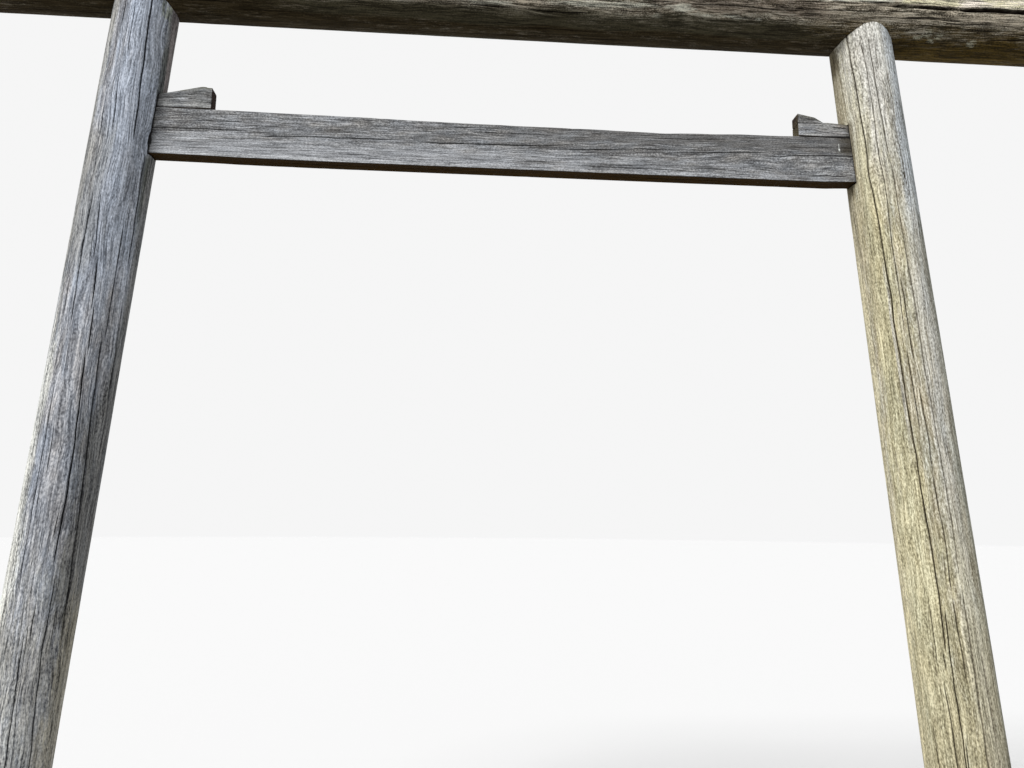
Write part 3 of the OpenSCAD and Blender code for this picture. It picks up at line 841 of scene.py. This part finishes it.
topLog = dict(
    columns=404, rowCount=226, bevel=8, seed=41, ridges=1, knotRise=0.7, fullWidth=True, checks=620, checkLength=300,
    checkDepth=2.6,
    knots=[(1712, -44, 8, 120), (2170, -47, 6, 80), (3050, -20, 7, 70), (300, -70, 12, 80),
           (600, 100, 14, 90), (2600, 150, 12, 80)],
    # checks in the sawn ends: (angle, depth, how near the pith, bend)
    endChecks=[(84, 13, 0.12, 16), (-12, 7, 0.5, -8), (203, 8, 0.3, -20), (150, 5, 0.6, 10), (-60, 5, 0.6, 6),
               (40, 4, 0.7, 0), (255, 5, 0.65, 8)],
    endShares=[1, 0.94, 0.82, 0.62, 0.4, 0.18],
    guides=[
        guide(3, [(-658, -112), (3642, -108)], (200, 900, 5), (2100, 2600, 6)),
        guide(3, [(-658, -94), (3642, -91)], (-400, 300, 6), (1500, 1900, 5)),
        guide(2.4, [(-658, -78), (1390, -75), (1800, -76), (3642, -74)], (1480, 1830, 5)),
        guide(2.4, [(-658, -72), (1390, -68.5), (1600, -70), (3642, -68)], (1380, 1620, 5), (500, 800, 5)),
        guide(3, [(-658, -60), (2500, -58), (3175, -55), (3295, -52), (3642, -51)], (3160, 3360, 4), (100, 560, 5)),
        guide(3.8, [(-658, -47), (1312, -44), (1375, -44.2), (1420, -45.2), (1480, -43.7), (1525, -44.7),
            (1560, -46.5), (1645, -48.4), (1712, -46.8), (2000, -45), (2500, -43), (3100, -41), (3200, -40),
            (3642, -40)], (1310, 1495, 9), (1515, 1765, 9), (3090, 3215, 5), (-200, 250, 8)),
        guide(2.2, [(-658, -41.5), (1375, -40.5), (1645, -43.5), (1787, -42), (1937, -40), (2500, -37.5),
            (3100, -36.5), (3642, -36)], (1775, 1950, 4)),
        guide(2.6, [(-658, -35), (2000, -33.5), (2845, -31), (2985, -29.2), (3110, -29), (3642, -29)],
            (2985, 3110, 6), (600, 1000, 6)),
        guide(2.6, [(-658, -29), (1900, -29.5), (2200, -28), (2100, -28.5), (2310, -28), (2390, -29.5), (2515, -28.5),
            (2845, -28), (3025, -25), (3642, -24)], (2830, 3040, 6)),
        guide(3.2, [(-658, -24), (1900, -24), (2042, -24), (2100, -26), (2200, -24.5), (2310, -25), (2390, -27),
            (2515, -26), (2700, -25), (3642, -20)], (1890, 2055, 8), (2075, 2530, 9)),
        guide(2.6, [(-658, -19), (2042, -20), (2200, -20.5), (2370, -21), (2485, -23.5), (2540, -23), (2725, -22),
            (3000, -19), (3642, -16.5)], (2360, 2740, 7)),
        guide(15, [(-658, -13.5), (2000, -15), (2540, -16), (2700, -14.5), (2819, -12), (2860, -10.5), (3040, -11),
            (3060, -11.6), (3077, -12), (3170, -9.3), (3295, -9.8), (3642, -10.3)], (2785, 3080, 20, 0.62),
            (3046, 3760, 26), shares=[-0.62, -0.48, -0.3, 0, 0.3, 0.48, 0.62], shades=(1, 1, 0.8, 0)),
        guide(4.5, [(-658, -6), (2680, -6.5), (2815, -6.5), (2860, -4.2), (3050, -2), (3170, 0.5), (3642, 1)],
            (2660, 2835, 12)),
        guide(3.4, [(-658, 12), (3642, 14)], (2400, 2950, 8), (-300, 500, 9)),
        guide(5.5, [(-658, 33), (3642, 36)], (-700, 900, 18), (1500, 2300, 10)),
        guide(3.4, [(-658, 62), (3642, 60)], (900, 2500, 12)),
        guide(6.5, [(-658, 92), (3642, 90)], (400, 3700, 22)),
        guide(3.4, [(-658, 120), (3642, 119)], (-700, 700, 11), (1700, 2400, 10)),
        guide(4.4, [(-658, 150), (3642, 147)], (200, 1900, 14), (2600, 3300, 9)),
        guide(3, [(-658, 176), (3642, 174)], (-200, 600, 8), (2100, 3000, 9)),
        guide(4, [(-658, 202), (3642, 200)], (900, 2000, 12)),
        guide(3, [(-658, 226), (3642, 224)], (2300, 3500, 9), (-500, 100, 7))
    ])


def logZones(angle, x, u):
    folded = (angle + 180) % 360 - 180
    face = np.where(folded > 90, 180 - folded, np.where(folded < -90, -180 - folded, folded))
    front = (folded < 90) & (folded > -90)
    wander = 7 * streaks(u, x, 26, 190, 95) + 4 * streaks(u, x, 60, 90, 96)
    edge = np.interp(x, [-658, 1000, 1900, 2600, 2800, 3642], [-16, -22, -20, -14, -14, -14])
    pale = rise(face + 1.4 * wander, edge, 14)
    for place, at, length, half, level in [
            (1405, -39, 75, 3.5, 0.8), (1712, -34, 115, 5.5, 0.9), (1905, -31, 90, 5, 0.9), (1972, -46, 22, 3.5, 0.85),
            (2060, -33, 55, 5, 0.85), (2150, -41, 50, 3, 0.85), (2255, -39, 55, 4, 1), (2340, -42, 16, 3, 1)]:
        pale = np.maximum(pale, level * oval(x, face + 0.35 * wander, place, at, length, half) * front)
    crusts = np.zeros_like(x)
    degree = 2.234  # mm round the log
    for place, at, size in [(2958, -49, 20), (2936, -56, 11), (3008, -53, 17), (3138, -61, 18), (2984, -61, 10)]:
        away = np.hypot(x - place, (folded - at) * degree * 1.3)
        crusts = np.maximum(crusts, fall(away, size * 1.5, 1.1 * size))
    reach = rise(x, 2350, 450)
    shifted = x + 5 * wander
    dim = np.interp(x, [-658, 350, 900, 1500, 2000, 2500, 3642], [-29, -30, -32, -34, -41, -37, -28])
    split = follow(x, topLog["guides"][11]["path"])
    return dict(
        pale=pale,
        mid=0.5 * band(face + wander, -35, 4, 11) * (1 - reach) + 0.75 * band(face, -21, 8, 12) * reach,
        dull=band(face + 0.5 * wander, -24, 8, 8) * band(x, 2260, 250, 160),
        # low: darker towards the bottom, painted shade over damp, dark wood
        low=fall(face + (0.9 - 0.6 * reach) * wander, dim, 25 + 15 * reach),
        crust=crusts,
        bright=rise(face, split + 3.8, 2) * fall(face, 62, 30) * rise(shifted, 2780, 120) * front,
        green=rise(face, -8, 4) * fall(face, 62, 30) * front
        * (rise(shifted, 2780, 90) * fall(shifted, 3095, 80) + 0.5 * band(shifted, 3300, 110, 60)),
        olive=band(face + 0.5 * wander, -57, 9, 9) * rise(x, 500, 400) * (1 - reach),
        moss=fall(face - 0.7 * wander, -53, 26) * rise(x, 2750, 200) + 0.5 * band(face, -50, 8, 12) * reach,
        rose=band(x, 3570, 50, 60) * band(face, -5, 2.5, 3) * front,
        lichen=2.4 * crusts)


def buildLog(p, material):
    x = np.linspace(logFrom + p["bevel"], logTo - p["bevel"], p["rowCount"])
    angle, _, s, u, core, relief, dark, ridge = weatherWall(x, p, 360, 2 * math.pi * logRadius)
    turn = np.radians(angle)

    def ringAt(place, radius, row):
        return np.stack([place, -radius * np.cos(turn[row]), logAxisZ + radius * np.sin(turn[row])], -1)

    def face(row, endX, inward):
        # drying checks run out from the pith across the sawn end
        rings = []
        for q in p["endShares"]:
            radius = (logRadius - p["bevel"] - relief[row]) * q
            sunk = 1.2 + 0.8 * streaks(u[row], s[row] + 900 * q, 24, 300, p["seed"] + 8)
            for a, deep, reach, bend in p["endChecks"]:
                off = np.radians(np.abs((angle[row] - a - bend * (1 - q) + 180) % 360 - 180)) * radius
                sunk = sunk + deep * np.exp(-(off / (0.8 + 1.5 * q)) ** 2) * rise(q, reach, 0.3)
            rings.append(ringAt(endX + inward * sunk, radius, row))
        return rings

    grid = np.concatenate([face(0, logFrom, 1)[::-1], ringAt(s, logRadius - relief, slice(None)), face(-1, logTo, -1)])
    count = len(p["endShares"])
    pull = p["endShares"][::-1] + [1] * len(x) + p["endShares"]
    grainPlace = roundGrain(u, count, count, pull, logRadius, grid[..., 0])
    ridge = np.clip(ridge + 0.2 * core, 0, 1)
    fields = timberFields(grainPlace, dark, ridge, logZones(angle, s, u), count, count)
    # painted shade in the end checks, where the face is sunk more than 3 mm
    endDark = np.clip((np.abs(grid[-count:, :, 0] - logTo) - 3) / 7, 0, 1)
    fields["crack"][:count], fields["crack"][-count:] = endDark[::-1], endDark
    fields["endFilm"] = 0.8 * fields["endGrain"]
    settle(gridObject("topLog", grid, True, fields), "top_log", material)


topLogWood = makeTimber("topLogWood", dict(
    weathered, dark=(47, 42, 33), middle=(109, 103, 90), light=(208, 200, 185), crack=(27, 19, 14),
    cool=(0.97, 1, 1), warm=(1.05, 1, 0.93), sway=0.022, fineness=(1.25, 1.25, 2.2), rough=(0.8, 0.98),
    endDark=(70, 60, 47), endLight=(170, 160, 138), endFilm=(108, 108, 96),
    weights=dict(Fibre=1.1, Streak=0.7, Fleck=0.8, Patch=0.5, Ridge=0.32, Line=0.5),
    through=dict(any=1.7, bright=1.6, low=1, moss=1.6, olive=1.2),
    films=dict(mid=((172, 162, 144), 0.6, 1.3, 1.3), dull=((98, 86, 76), 0.55, 0.9, 1.2),
               pale=((203, 203, 188), 0.8, 1.1, 1.5), bright=((226, 214, 200), 0.72, 1.6, 1.4),
               rose=((214, 172, 152), 0.6, 1.3, 1.6), green=((186, 184, 132), 0.5, 1.6, 1.6),
               # low: painted shade over damp, dark wood
               low=((51, 42, 24), 0.97, 0.6, 1.1), olive=((75, 72, 57), 0.6, 0.8, 1.2),
               moss=((92, 75, 34), 0.75, 1.1, 1.2), crust=((166, 164, 144), 0.7, 2.4, 2.6)),
    lichen=((184, 182, 164), 0.0065)))
buildLog(topLog, topLogWood)


# squared timbers: the tie beam and both wedges, drawn as a section that changes along X

def sectionPoints(travel, depthY, fullHeight, floorZ, frontH, backH, rounding, relief, x):
    # travel runs up the front, over the top, down the back and home along the underside
    half = depthY / 2
    turn = 2 * (fullHeight + depthY)
    topFront, topBack, floorBack = fullHeight, fullHeight + depthY, 2 * fullHeight + depthY
    t = travel % turn
    onFront, onTop = t < topFront, (t >= topFront) & (t < topBack)
    onBack, onFloor = (t >= topBack) & (t < floorBack), t >= floorBack
    upright = onFront | onBack
    y = np.select([onFront, onTop, onBack], [-half, t - topFront - half, half], half - (t - floorBack))
    topZ = frontH + (backH - frontH) * (y + half) / depthY
    z = np.select([onFront, onTop, onBack], [t / fullHeight * frontH, topZ, (floorBack - t) / fullHeight * backH], 0)
    ny = np.where(onFront, -1, np.where(onBack, 1, 0))
    nz = np.where(onTop, 1, np.where(onFloor, -1, 0))
    # arrises are rounded to a radius that may change along the timber
    for corner, k, cy, cz in ((0, 0, -1, -1), (topFront, 1, -1, 1), (topBack, 2, 1, 1), (floorBack, 3, 1, -1),
                              (turn, 0, -1, -1)):
        away = np.abs(t - corner)
        near = away < rounding[k]
        swing = (1 - away / rounding[k]) * math.pi / 4
        outY = cy * np.where(upright, np.cos(swing), np.sin(swing))
        outZ = cz * np.where(upright, np.sin(swing), np.cos(swing))
        cornerZ = 0 if cz < 0 else frontH if cy < 0 else backH
        y = np.where(near, cy * (half - rounding[k]) + rounding[k] * outY, y)
        z = np.where(near, cornerZ - cz * rounding[k] + rounding[k] * outZ, z)
        ny, nz = np.where(near, outY, ny), np.where(near, outZ, nz)
    return np.stack([x, y - relief * ny, floorZ + z - relief * nz], -1)


def buildSquared(name, p, material, node):
    x = p["places"]
    depth, tall = p["depth"], p["height"]
    turn = 2 * (tall + depth)
    travel, _, s, u, _, relief, dark, ridge = weatherWall(x, p, turn, turn)
    corners = [0, tall, tall + depth, 2 * tall + depth]

    def awayFrom(corner):
        return (travel - corner + turn / 2) % turn - turn / 2

    for corner in (corners[0], corners[3]):  # the lower arrises keep the timber's full width
        relief *= 1 - p["crisp"] * np.exp(-(awayFrom(corner) / 12) ** 2)
    rounding = []
    for k, corner in enumerate(corners):
        wear = streaks(np.full_like(x, 0.1 + 0.2 * k), x, 12, 120, p["seed"] + 9)
        rounding.append((p["arris"][k] * (1 + 0.35 * wear))[:, None])
        chips = np.maximum(0, streaks(u, s, max(8, int(turn / 9)), 38, p["seed"] + 10 + k) - 0.35)
        crisp = p["crisp"] if k in (0, 3) else 0
        relief += p["chip"] * (1 - 0.8 * crisp) * chips * np.exp(-(awayFrom(corner) / 5) ** 2)
    front, back = p["heightAt"](x)
    wall = sectionPoints(travel, depth, tall, p["floor"], front[:, None], back[:, None], rounding, relief, s)
    wall[..., 2] += p["lift"](s) * (1 - (wall[..., 2] - p["floor"]) / tall)

    # the ends are eased over, then closed by rings drawn in to the middle
    wall[0, :, 1] *= 0.985
    wall[-1, :, 1] *= 0.985
    shares = [0.95, 0.8, 0.55, 0.3, 0.1]

    def face(edge):
        middle = edge.mean(0) * [0, 0, 1]
        return [middle + (edge - middle) * [1, q, q] for q in shares]

    grid = np.concatenate([face(wall[0])[::-1], wall, face(wall[-1])])
    count = len(shares)

    # grain place: the flat section, so that the grain runs on round the arrises
    flat = sectionPoints(u * turn, depth, tall, 0, tall, tall, [3] * 4, relief, s)[..., [1, 2, 0]]
    flat = np.pad(flat, ((count, count), (0, 0), (0, 0)), mode="edge")
    pull = np.array(shares[::-1] + [1] * len(x) + shares)[:, None, None]
    middle = np.array([0, tall / 2])
    flat[..., :2] = middle + (flat[..., :2] - middle) * pull
    grainPlace = flat * mm + [*p["pith"], 0]
    zones = p["zones"](wall, s, u, travel)
    fields = timberFields(grainPlace, dark, np.clip(ridge, 0, 1), zones, count, count)
    if "endFilm" in p:
        fields["endFilm"] = fields["endGrain"] * p["endFilm"] * (0.35 + 0.65 * fall(grid[..., 2], 2888, 30))
    settle(gridObject(name, grid, True, fields), node, material)


def runs(*stretches):
    # places of the rows: each stretch is (from, to, how many)
    return np.concatenate([np.linspace(*s) for s in stretches])


def beamHeights(x):
    # the top has worn down between the posts, more at the front
    worn = np.interp(x, [185, 480, 571, 800, 1043, 1249, 1577, 1800, 2007, 2200, 2284, 2423, 2520, 2800],
                     [0, 0, 0.5, 2, 4, 8, 8, 9, 11, 5.5, 3, 2, 0, 0])
    ragged = 0.8 * (1 + streaks(np.full_like(x, 0.3), x, 8, 70, 77)) * ease(worn / 3)
    return beamHeight - worn - ragged, beamHeight - 0.45 * worn - 0.6 * ragged


def beamLift(x):
    # the underside is worn hollow towards the posts
    return np.interp(x, [185, 300, 420, 500, 570, 800, 2100, 2600, 2672, 2800],
                     [6, 5.8, 4.8, 3.8, 2, 0.4, 0, 1, 4.6, 5.4])


def beamGuide(width, points, *cracks):
    # points are (x, height above the CAD's underside) on the front face
    at, up = np.array(points, float).T
    lift = beamLift(at)
    up = beamHeight / beamHeights(at)[0] * (up - lift) / (1 - lift / beamHeight)
    return guide(width, list(zip(at, up)), *cracks)


def arrisLine(travel):
    # tight columns round a rounded arris
    return dict(offsets=[-4.5, -2.6, -1.2, 0, 1.2, 2.6, 4.5], path=[(0, travel)])


def jointShade(x, z, leftReach, rightReach):
    # dirt and shade where a timber goes into the posts; the reach is how far it runs out from them
    # the posts' inner faces at height z
    leftEdge = 288.8 + (z - beamFloor) * 0.0717
    rightEdge = 2681.5 - (z - 2750) * 0.065
    return np.maximum(fall(x, leftEdge + leftReach, 4), rise(x, rightEdge - rightReach, 4))


def paintedRightSeamShade(x, z):
    # painted shade: the dark line under the right wedge, rising and widening towards the post
    out = x - 2494
    return ease(out / 3) * band(z, 2834 + 0.024 * out, 2.4 + 0.01 * out, 1)


def beamZones(wall, x, u, travel):
    z = wall[..., 2]
    wander = streaks(u, x, 20, 160, 97)
    onFront = (travel > 1) & (travel < 169)
    # the underside is painted dark brown: painted shade, and wood less weathered there
    underBrownAndPaintedShade = rise(travel, 396, 4) + fall(travel, 1.2, 3)
    # a pale nick near the right post
    mark = np.maximum(band(x, 2635, 0.6, 1.4) * band(z, 2797, 12, 6), band(x, 2635.6, 2, 1.4) * band(z, 2787, 3, 3))
    toLeft = fall(x, 2500, 2200)
    bright = band(x, 800, 300, 350)
    pale = (0.25 + 0.4 * toLeft) * fall(z, 2765, 60) + 0.25 * wander + 0.25 * toLeft
    pale += (0.15 + 0.5 * bright) * fall(z, 2690, 12) + 0.3 * bright * fall(z, 2740, 40)
    for place, at, length, half in ((500, 2746, 75, 6), (338, 2781, 28, 6), (2230, 2712, 60, 9)):
        pale += 0.8 * oval(x, z, place, at, length, half)
    underWedges = rise(x, 205, 20) * fall(x, 476, 4) + rise(x, 2492, 4)
    # painted shade: a dark line along the beam's top arris where the wedges lie
    paintedSeamShade = underWedges * band(travel, 171, 1.5, 2.5)
    # painted shade in the gap by the left post's chipped mouth
    chip = band(z, 2712, 10, 5) * fall(x, 296, 3)
    return dict(
        pale=np.clip(pale, 0, 1) * (1 - underBrownAndPaintedShade),
        underBrownAndPaintedShade=np.clip(underBrownAndPaintedShade, 0, 1),
        rim=(bright * fall(z, 2683, 10) + 0.7 * fall(z, 2672, 3) * fall(x, 1900, 900)) * (1 - underBrownAndPaintedShade),
        # crack gathers the painted shade at the joints, the chip and the seams
        crack=0.92 * np.maximum.reduce([jointShade(x, z, 1.3, 1), chip, 0.9 * paintedSeamShade, paintedRightSeamShade(x, z)]),
        top=rise(travel, 158, 14) * fall(travel, 240, 14) * band(x, 1850, 420, 300)
        + 0.5 * rise(travel, 166, 5) * fall(travel, 232, 5) + 0.8 * rise(z, 2765, 25) * rise(x, 1250, 500) * onFront,
        # brown: darker where the beam meets the right post: dirt and painted shade
        brown=rise(x, 2606 + 10 * wander, 66) * rise(z, 2752, 30) + 0.6 * rise(x, 2655, 14) * fall(z, 2700, 25),
        mark=mark * onFront,
        lichen=0.4 * rise(travel, 150, 15) * fall(travel, 240, 20))


squared = dict(knotRise=0, fullWidth=True)
tieBeam = dict(
    squared, places=runs((184.8, 282, 10), (286, 316, 14), (325, 2615, 226), (2629, 2641, 9), (2647, 2665, 4),
                         (2670, 2700, 10), (2715, 2793.3, 6)),
    depth=58, height=beamHeight, floor=beamFloor, heightAt=beamHeights, lift=beamLift, zones=beamZones, columns=288,
    seed=61, arris=(1.4, 4, 4.5, 1.2), crisp=0.9, ridges=0.75, chip=2.5, pith=(0.03, -0.12),
    checks=480, checkLength=190, checkDepth=1.7,
    knots=[(2440, 82, 4, 40), (1200, 112, 8, 60), (2060, 108, 7, 70), (640, 70, 6, 50), (900, 300, 10, 60)],
    guides=[
        arrisLine(0),
        beamGuide(2.2, [(185, 22), (1500, 24), (2800, 26)], (1700, 2100, 3), (2500, 2680, 3)),
        beamGuide(3, [(185, 50), (1000, 52), (1700, 60), (2100, 68), (2362, 87.6), (2419, 86.5), (2484, 95.8),
            (2560, 98.1), (2677, 101.1), (2800, 102)], (2345, 2800, 9)),
        beamGuide(3, [(185, 58), (1000, 62), (1700, 72), (2028, 86.6), (2124, 89.1), (2362, 100), (2484, 105),
            (2800, 109)], (2010, 2380, 9)),
        beamGuide(3, [(185, 66), (1000, 70), (1500, 78), (1635, 81.9), (1801, 85.8), (1923, 95.1), (1990, 94.8),
            (2124, 97), (2362, 107), (2800, 116)], (1620, 2060, 9)),
        beamGuide(3.4, [(185, 74), (800, 76), (1147, 82.9), (1406, 87), (1536, 89.3), (1635, 92.1), (1801, 96),
            (1923, 104), (2124, 106), (2362, 114), (2800, 123)], (1130, 1660, 10)),
        beamGuide(3, [(185, 80), (556, 80), (635, 81.4), (680, 81.1), (805, 86.3), (884, 86.4), (970, 87.2),
            (1060, 89), (1406, 95), (1635, 101), (1923, 112), (2362, 122), (2800, 131)], (618, 1090, 9)),
        beamGuide(3, [(185, 94), (296, 95.1), (351, 97.8), (478, 97.9), (608, 98.4), (884, 101), (1406, 106),
            (1923, 120), (2362, 131), (2800, 139)], (190, 622, 10)),
        beamGuide(2.4, [(185, 128), (1000, 126), (1500, 130), (2000, 136), (2800, 150)], (420, 640, 5),
            (1330, 1620, 5), (1950, 2240, 5)),
        arrisLine(170),
        guide(4, [(0, 196), (2800, 201)], (500, 1500, 12), (1700, 2300, 10)),
        arrisLine(228),
        guide(3, [(0, 262), (2800, 270)], (600, 1300, 7), (1900, 2400, 6)),
        guide(3.4, [(0, 305), (2800, 315)], (300, 1100, 10), (1250, 2000, 9), (2200, 2700, 7)),
        guide(2.6, [(0, 350), (2800, 344)], (1000, 1500, 6), (2300, 2600, 5)),
        arrisLine(398),
        guide(2.6, [(0, 426), (2800, 428)], (700, 1300, 6), (1800, 2300, 6))
    ])
tieBeamWood = makeTimber("tieBeamWood", dict(
    weathered, dark=(71, 70, 71), middle=(122, 122, 122), light=(186, 186, 186), crack=(30, 28, 27),
    cool=(0.95, 1, 1.06), warm=(1.03, 1, 0.96), sway=0.02, fineness=(1.1, 1.1, 1.6), rough=(0.78, 0.96),
    endDark=(66, 56, 46), endLight=(108, 98, 84),
    weights=dict(Fibre=0.75, Streak=0.25, Fleck=0.6, Patch=0.15, Ridge=0.14, Line=0.35), through=dict(any=1.2),
    films=dict(pale=((182, 185, 190), 0.6, 1, 1.3), rim=((202, 204, 206), 0.45, 0.8, 1.3),
               # brown here is dirt and painted shade by the right post
               top=((96, 94, 92), 0.55, 0.8, 1.2), brown=((64, 58, 46), 0.8, 0.7, 1.1),
               # under: painted shade and less weathered brown on the underside
               underBrownAndPaintedShade=((48, 32, 4), 1, 0.15, 1.7), mark=((225, 228, 225), 0.95, 0.1, 1.7)),
    lichen=((120, 122, 96), 0.014)))
buildSquared("tieBeam", tieBeam, tieBeamWood, "tie_beam")


def leftWedgeHeights(x):
    # the top slopes up to the thick end, where the corner is cut off
    end, cutFrom = 473.6, 452.6
    top = 90 - (end - x) * leftPost["ceilingSlope"]
    cut = np.interp(x, [cutFrom, end], [85, 79])
    h = np.where(x > cutFrom, np.minimum(top, cut), top)
    return h - 4 * np.exp(-((x - 457) / 12) ** 2), h - 0.8


def rightWedgeHeights(x):
    # the thick end keeps its height; past the break the split has followed the grain
    breakFrom, breakTo = 2556.2, 2586.2
    top = 87 - (x - 2494.2) * rightPost["ceilingSlope"]
    broken = np.interp(x, [breakFrom, breakTo], [74.7, 56])
    split = np.interp(x, [breakTo, 2602, 2660, 2757.2], [56, 57, 53.5, 34.9])
    h = np.where(x < breakFrom, top, np.where(x < breakTo, broken, np.minimum(split, top)))
    return h, h - 1


def wedgeZones(wall, x, u, travel):
    z = wall[..., 2]
    wander = streaks(u, x, 20, 60, 98)
    top = rise(travel, 84, 6) * fall(travel, 146, 6)
    # the underside and the front's lowest few mm are painted dark brown: painted shade, and wood less weathered there
    underBrownAndPaintedShade = np.clip(rise(travel, 226, 4) + fall(travel, 7, 3), 0, 1)
    splinter = rise(z, 2889, 6) * rise(x, 2480, 10)
    pale = 0.3 + 0.5 * wander - 0.7 * splinter
    for place, at, length, half in ((322, 2854, 28, 6), (450, 2850, 24, 8)):
        pale += 0.9 * oval(x, z, place, at, length, half)
    onLeft = fall(x, 480, 5)
    pale += 0.7 * onLeft * fall(z, 2856, 6) * rise(x, 370, 60)
    return dict(
        pale=np.clip(pale, 0, 1) * (1 - underBrownAndPaintedShade),
        underBrownAndPaintedShade=underBrownAndPaintedShade,
        dull=onLeft * rise(z, 2857, 7) * (0.5 + 0.5 * rise(x, 390, 40)) + splinter,
        # crack: painted shade at the joints and along the right seam
        crack=0.9 * np.maximum(jointShade(x, z, 1.3, 0.3), paintedRightSeamShade(x, z)),
        brown=np.maximum(rise(x, 2615, 50) * rise(z, 2868, 14), 0.7 * rise(x, 2658, 16)),
        moss=np.clip(top + 0.35 * rise(travel, 70, 16) * fall(travel, 150, 8), 0, 1),
        lichen=0.5 * top)


wedgeWood = makeTimber("wedgeWood", dict(
    weathered, dark=(84, 84, 85), middle=(142, 142, 143), light=(204, 204, 205), crack=(26, 24, 22),
    cool=(0.94, 1, 1.06), warm=(1.04, 1, 0.96), fineness=(1, 1, 1.4),
    # the dark end tones are painted shade on the left wedge's end face; the right wedge's end is filmed over
    endDark=(34, 26, 23), endLight=(62, 49, 43), endFilm=(104, 98, 76),
    weights=dict(Fibre=0.7, Streak=0.3, Fleck=0.6, Patch=0.2, Ridge=0.25, Line=0.35), through=dict(any=1.4),
    films=dict(pale=((182, 182, 178), 0.5, 1.2, 1.5), dull=((96, 96, 94), 0.6, 0.9, 1.3),
               moss=((96, 94, 66), 0.5, 1, 1.7), brown=((92, 82, 64), 0.6, 0.8, 1.2),
               # under: painted shade and less weathered brown on the underside
               underBrownAndPaintedShade=((36, 26, 14), 0.95, 0.15, 1.7)),
    lichen=((124, 126, 100), 0.012)))

wedge = dict(squared, depth=50, height=90, floor=beamTop + seatGap, lift=lambda x: 0 * x, zones=wedgeZones,
             columns=168, ridges=0.6, chip=1.8, crisp=0, pith=(0.2, 0.05), checkDepth=1.6)
leftWedge = dict(
    wedge, places=runs((221.6, 450, 104), (451.8, 471, 14), (472.6, 473.3, 2)),
    # its end face keeps the dark end tones: painted shade
    heightAt=leftWedgeHeights, arris=(2, 3, 3, 2), seed=71, checks=150, checkLength=120, endFilm=0,
    knots=[(380, 46, 5, 30)],
    guides=[
        arrisLine(0),
        guide(2.4, [(220, 36), (480, 26)], (330, 420, 4), (415, 520, 8)),
        guide(2.4, [(220, 60), (480, 50)], (250, 420, 4)),
        arrisLine(90),
        guide(2.6, [(220, 113), (480, 116)], (320, 480, 5)),
        arrisLine(140),
        guide(2.4, [(220, 186), (480, 190)], (300, 460, 4)),
        arrisLine(230)
    ])
rightWedge = dict(
    wedge, places=runs((2494.5, 2495.2, 2), (2497, 2553, 26), (2555, 2588, 24), (2590.5, 2757.2, 66)),
    heightAt=rightWedgeHeights, arris=(2, 2.4, 2.4, 2), seed=83, checks=130, checkLength=110, endFilm=1,
    knots=[(2530, 30, 5, 25)],
    guides=[
        arrisLine(0),
        guide(2.4, [(2490, 26), (2760, 30)], (2540, 2640, 4)),
        guide(3.6, [(2494, 53.8), (2556, 62.6), (2580, 76), (2590, 80), (2760, 80)], (2380, 2615, 14)),
        arrisLine(90),
        guide(2.6, [(2490, 116), (2760, 114)], (2600, 2700, 5)),
        arrisLine(140),
        guide(3.4, [(2760, 150), (2590, 150), (2580, 154), (2556, 167.4), (2494, 176.2)], (2380, 2583, 14)),
        arrisLine(230)
    ])
buildSquared("leftWedge", leftWedge, wedgeWood, "left_wedge")
buildSquared("rightWedge", rightWedge, wedgeWood, "right_wedge")


# floor, lamps and background

studio = dict(sun=3.2, sunAngle=22, sunTurn=-46, sunHeight=44, sky=0.5, background=0.92, floorShown=0.79,
              floorLit=0.34, floorCentre=1.49, floorRadius=60, floorSides=64)


def seenByCamera(tree):
    # 1 where the camera sees the surface, straight or in a reflection
    path = addNode(tree, "ShaderNodeLightPath", {})
    mirrored = calc(tree, "MAXIMUM", path["Is Glossy Ray"], path["Is Transmission Ray"])
    return calc(tree, "MAXIMUM", path["Is Camera Ray"], mirrored)


def makeStudio(p):
    mesh = bpy.data.meshes.new("studioFloor")
    sides, radius = p["floorSides"], p["floorRadius"]
    ring = [(p["floorCentre"] + radius * math.cos(a), radius * math.sin(a), -mm)
            for a in np.linspace(0, 2 * np.pi, sides, endpoint=False)]
    mesh.from_pydata(ring, [], [list(range(sides))])
    material = bpy.data.materials.new("paleFloor")
    material.use_nodes = True
    tree = material.node_tree
    lit, shown = [(p[key], p[key], p[key], 1) for key in ("floorLit", "floorShown")]
    plugIn(tree, tree.nodes["Principled BSDF"], {"Base Color": blendColour(tree, seenByCamera(tree), lit, shown),
                                                 "Roughness": 0.95, "Specular IOR Level": 0.1})
    mesh.materials.append(material)
    floor = addObject("studioFloor", mesh)

    sun = bpy.data.lights.new("softKey", "SUN")
    sun.energy = p["sun"]
    sun.angle = math.radians(p["sunAngle"])
    lamp = addObject("softKey", sun)
    lamp.matrix_world = (Matrix.Rotation(math.radians(p["sunTurn"]), 4, "Z")
                         @ Matrix.Rotation(math.radians(90 - p["sunHeight"]), 4, "X"))

    world = bpy.data.worlds.new("studioLight")
    world.use_nodes = True
    bpy.context.scene.world = world
    tree = world.node_tree
    strength = calc(tree, "MULTIPLY_ADD", seenByCamera(tree), p["background"] - p["sky"], p["sky"])
    plugIn(tree, tree.nodes["Background"], {"Strength": strength, "Color": (1, 1, 1, 1)})


makeStudio(studio)
bpy.context.scene.view_settings.view_transform = "Standard"
print("studio lit")
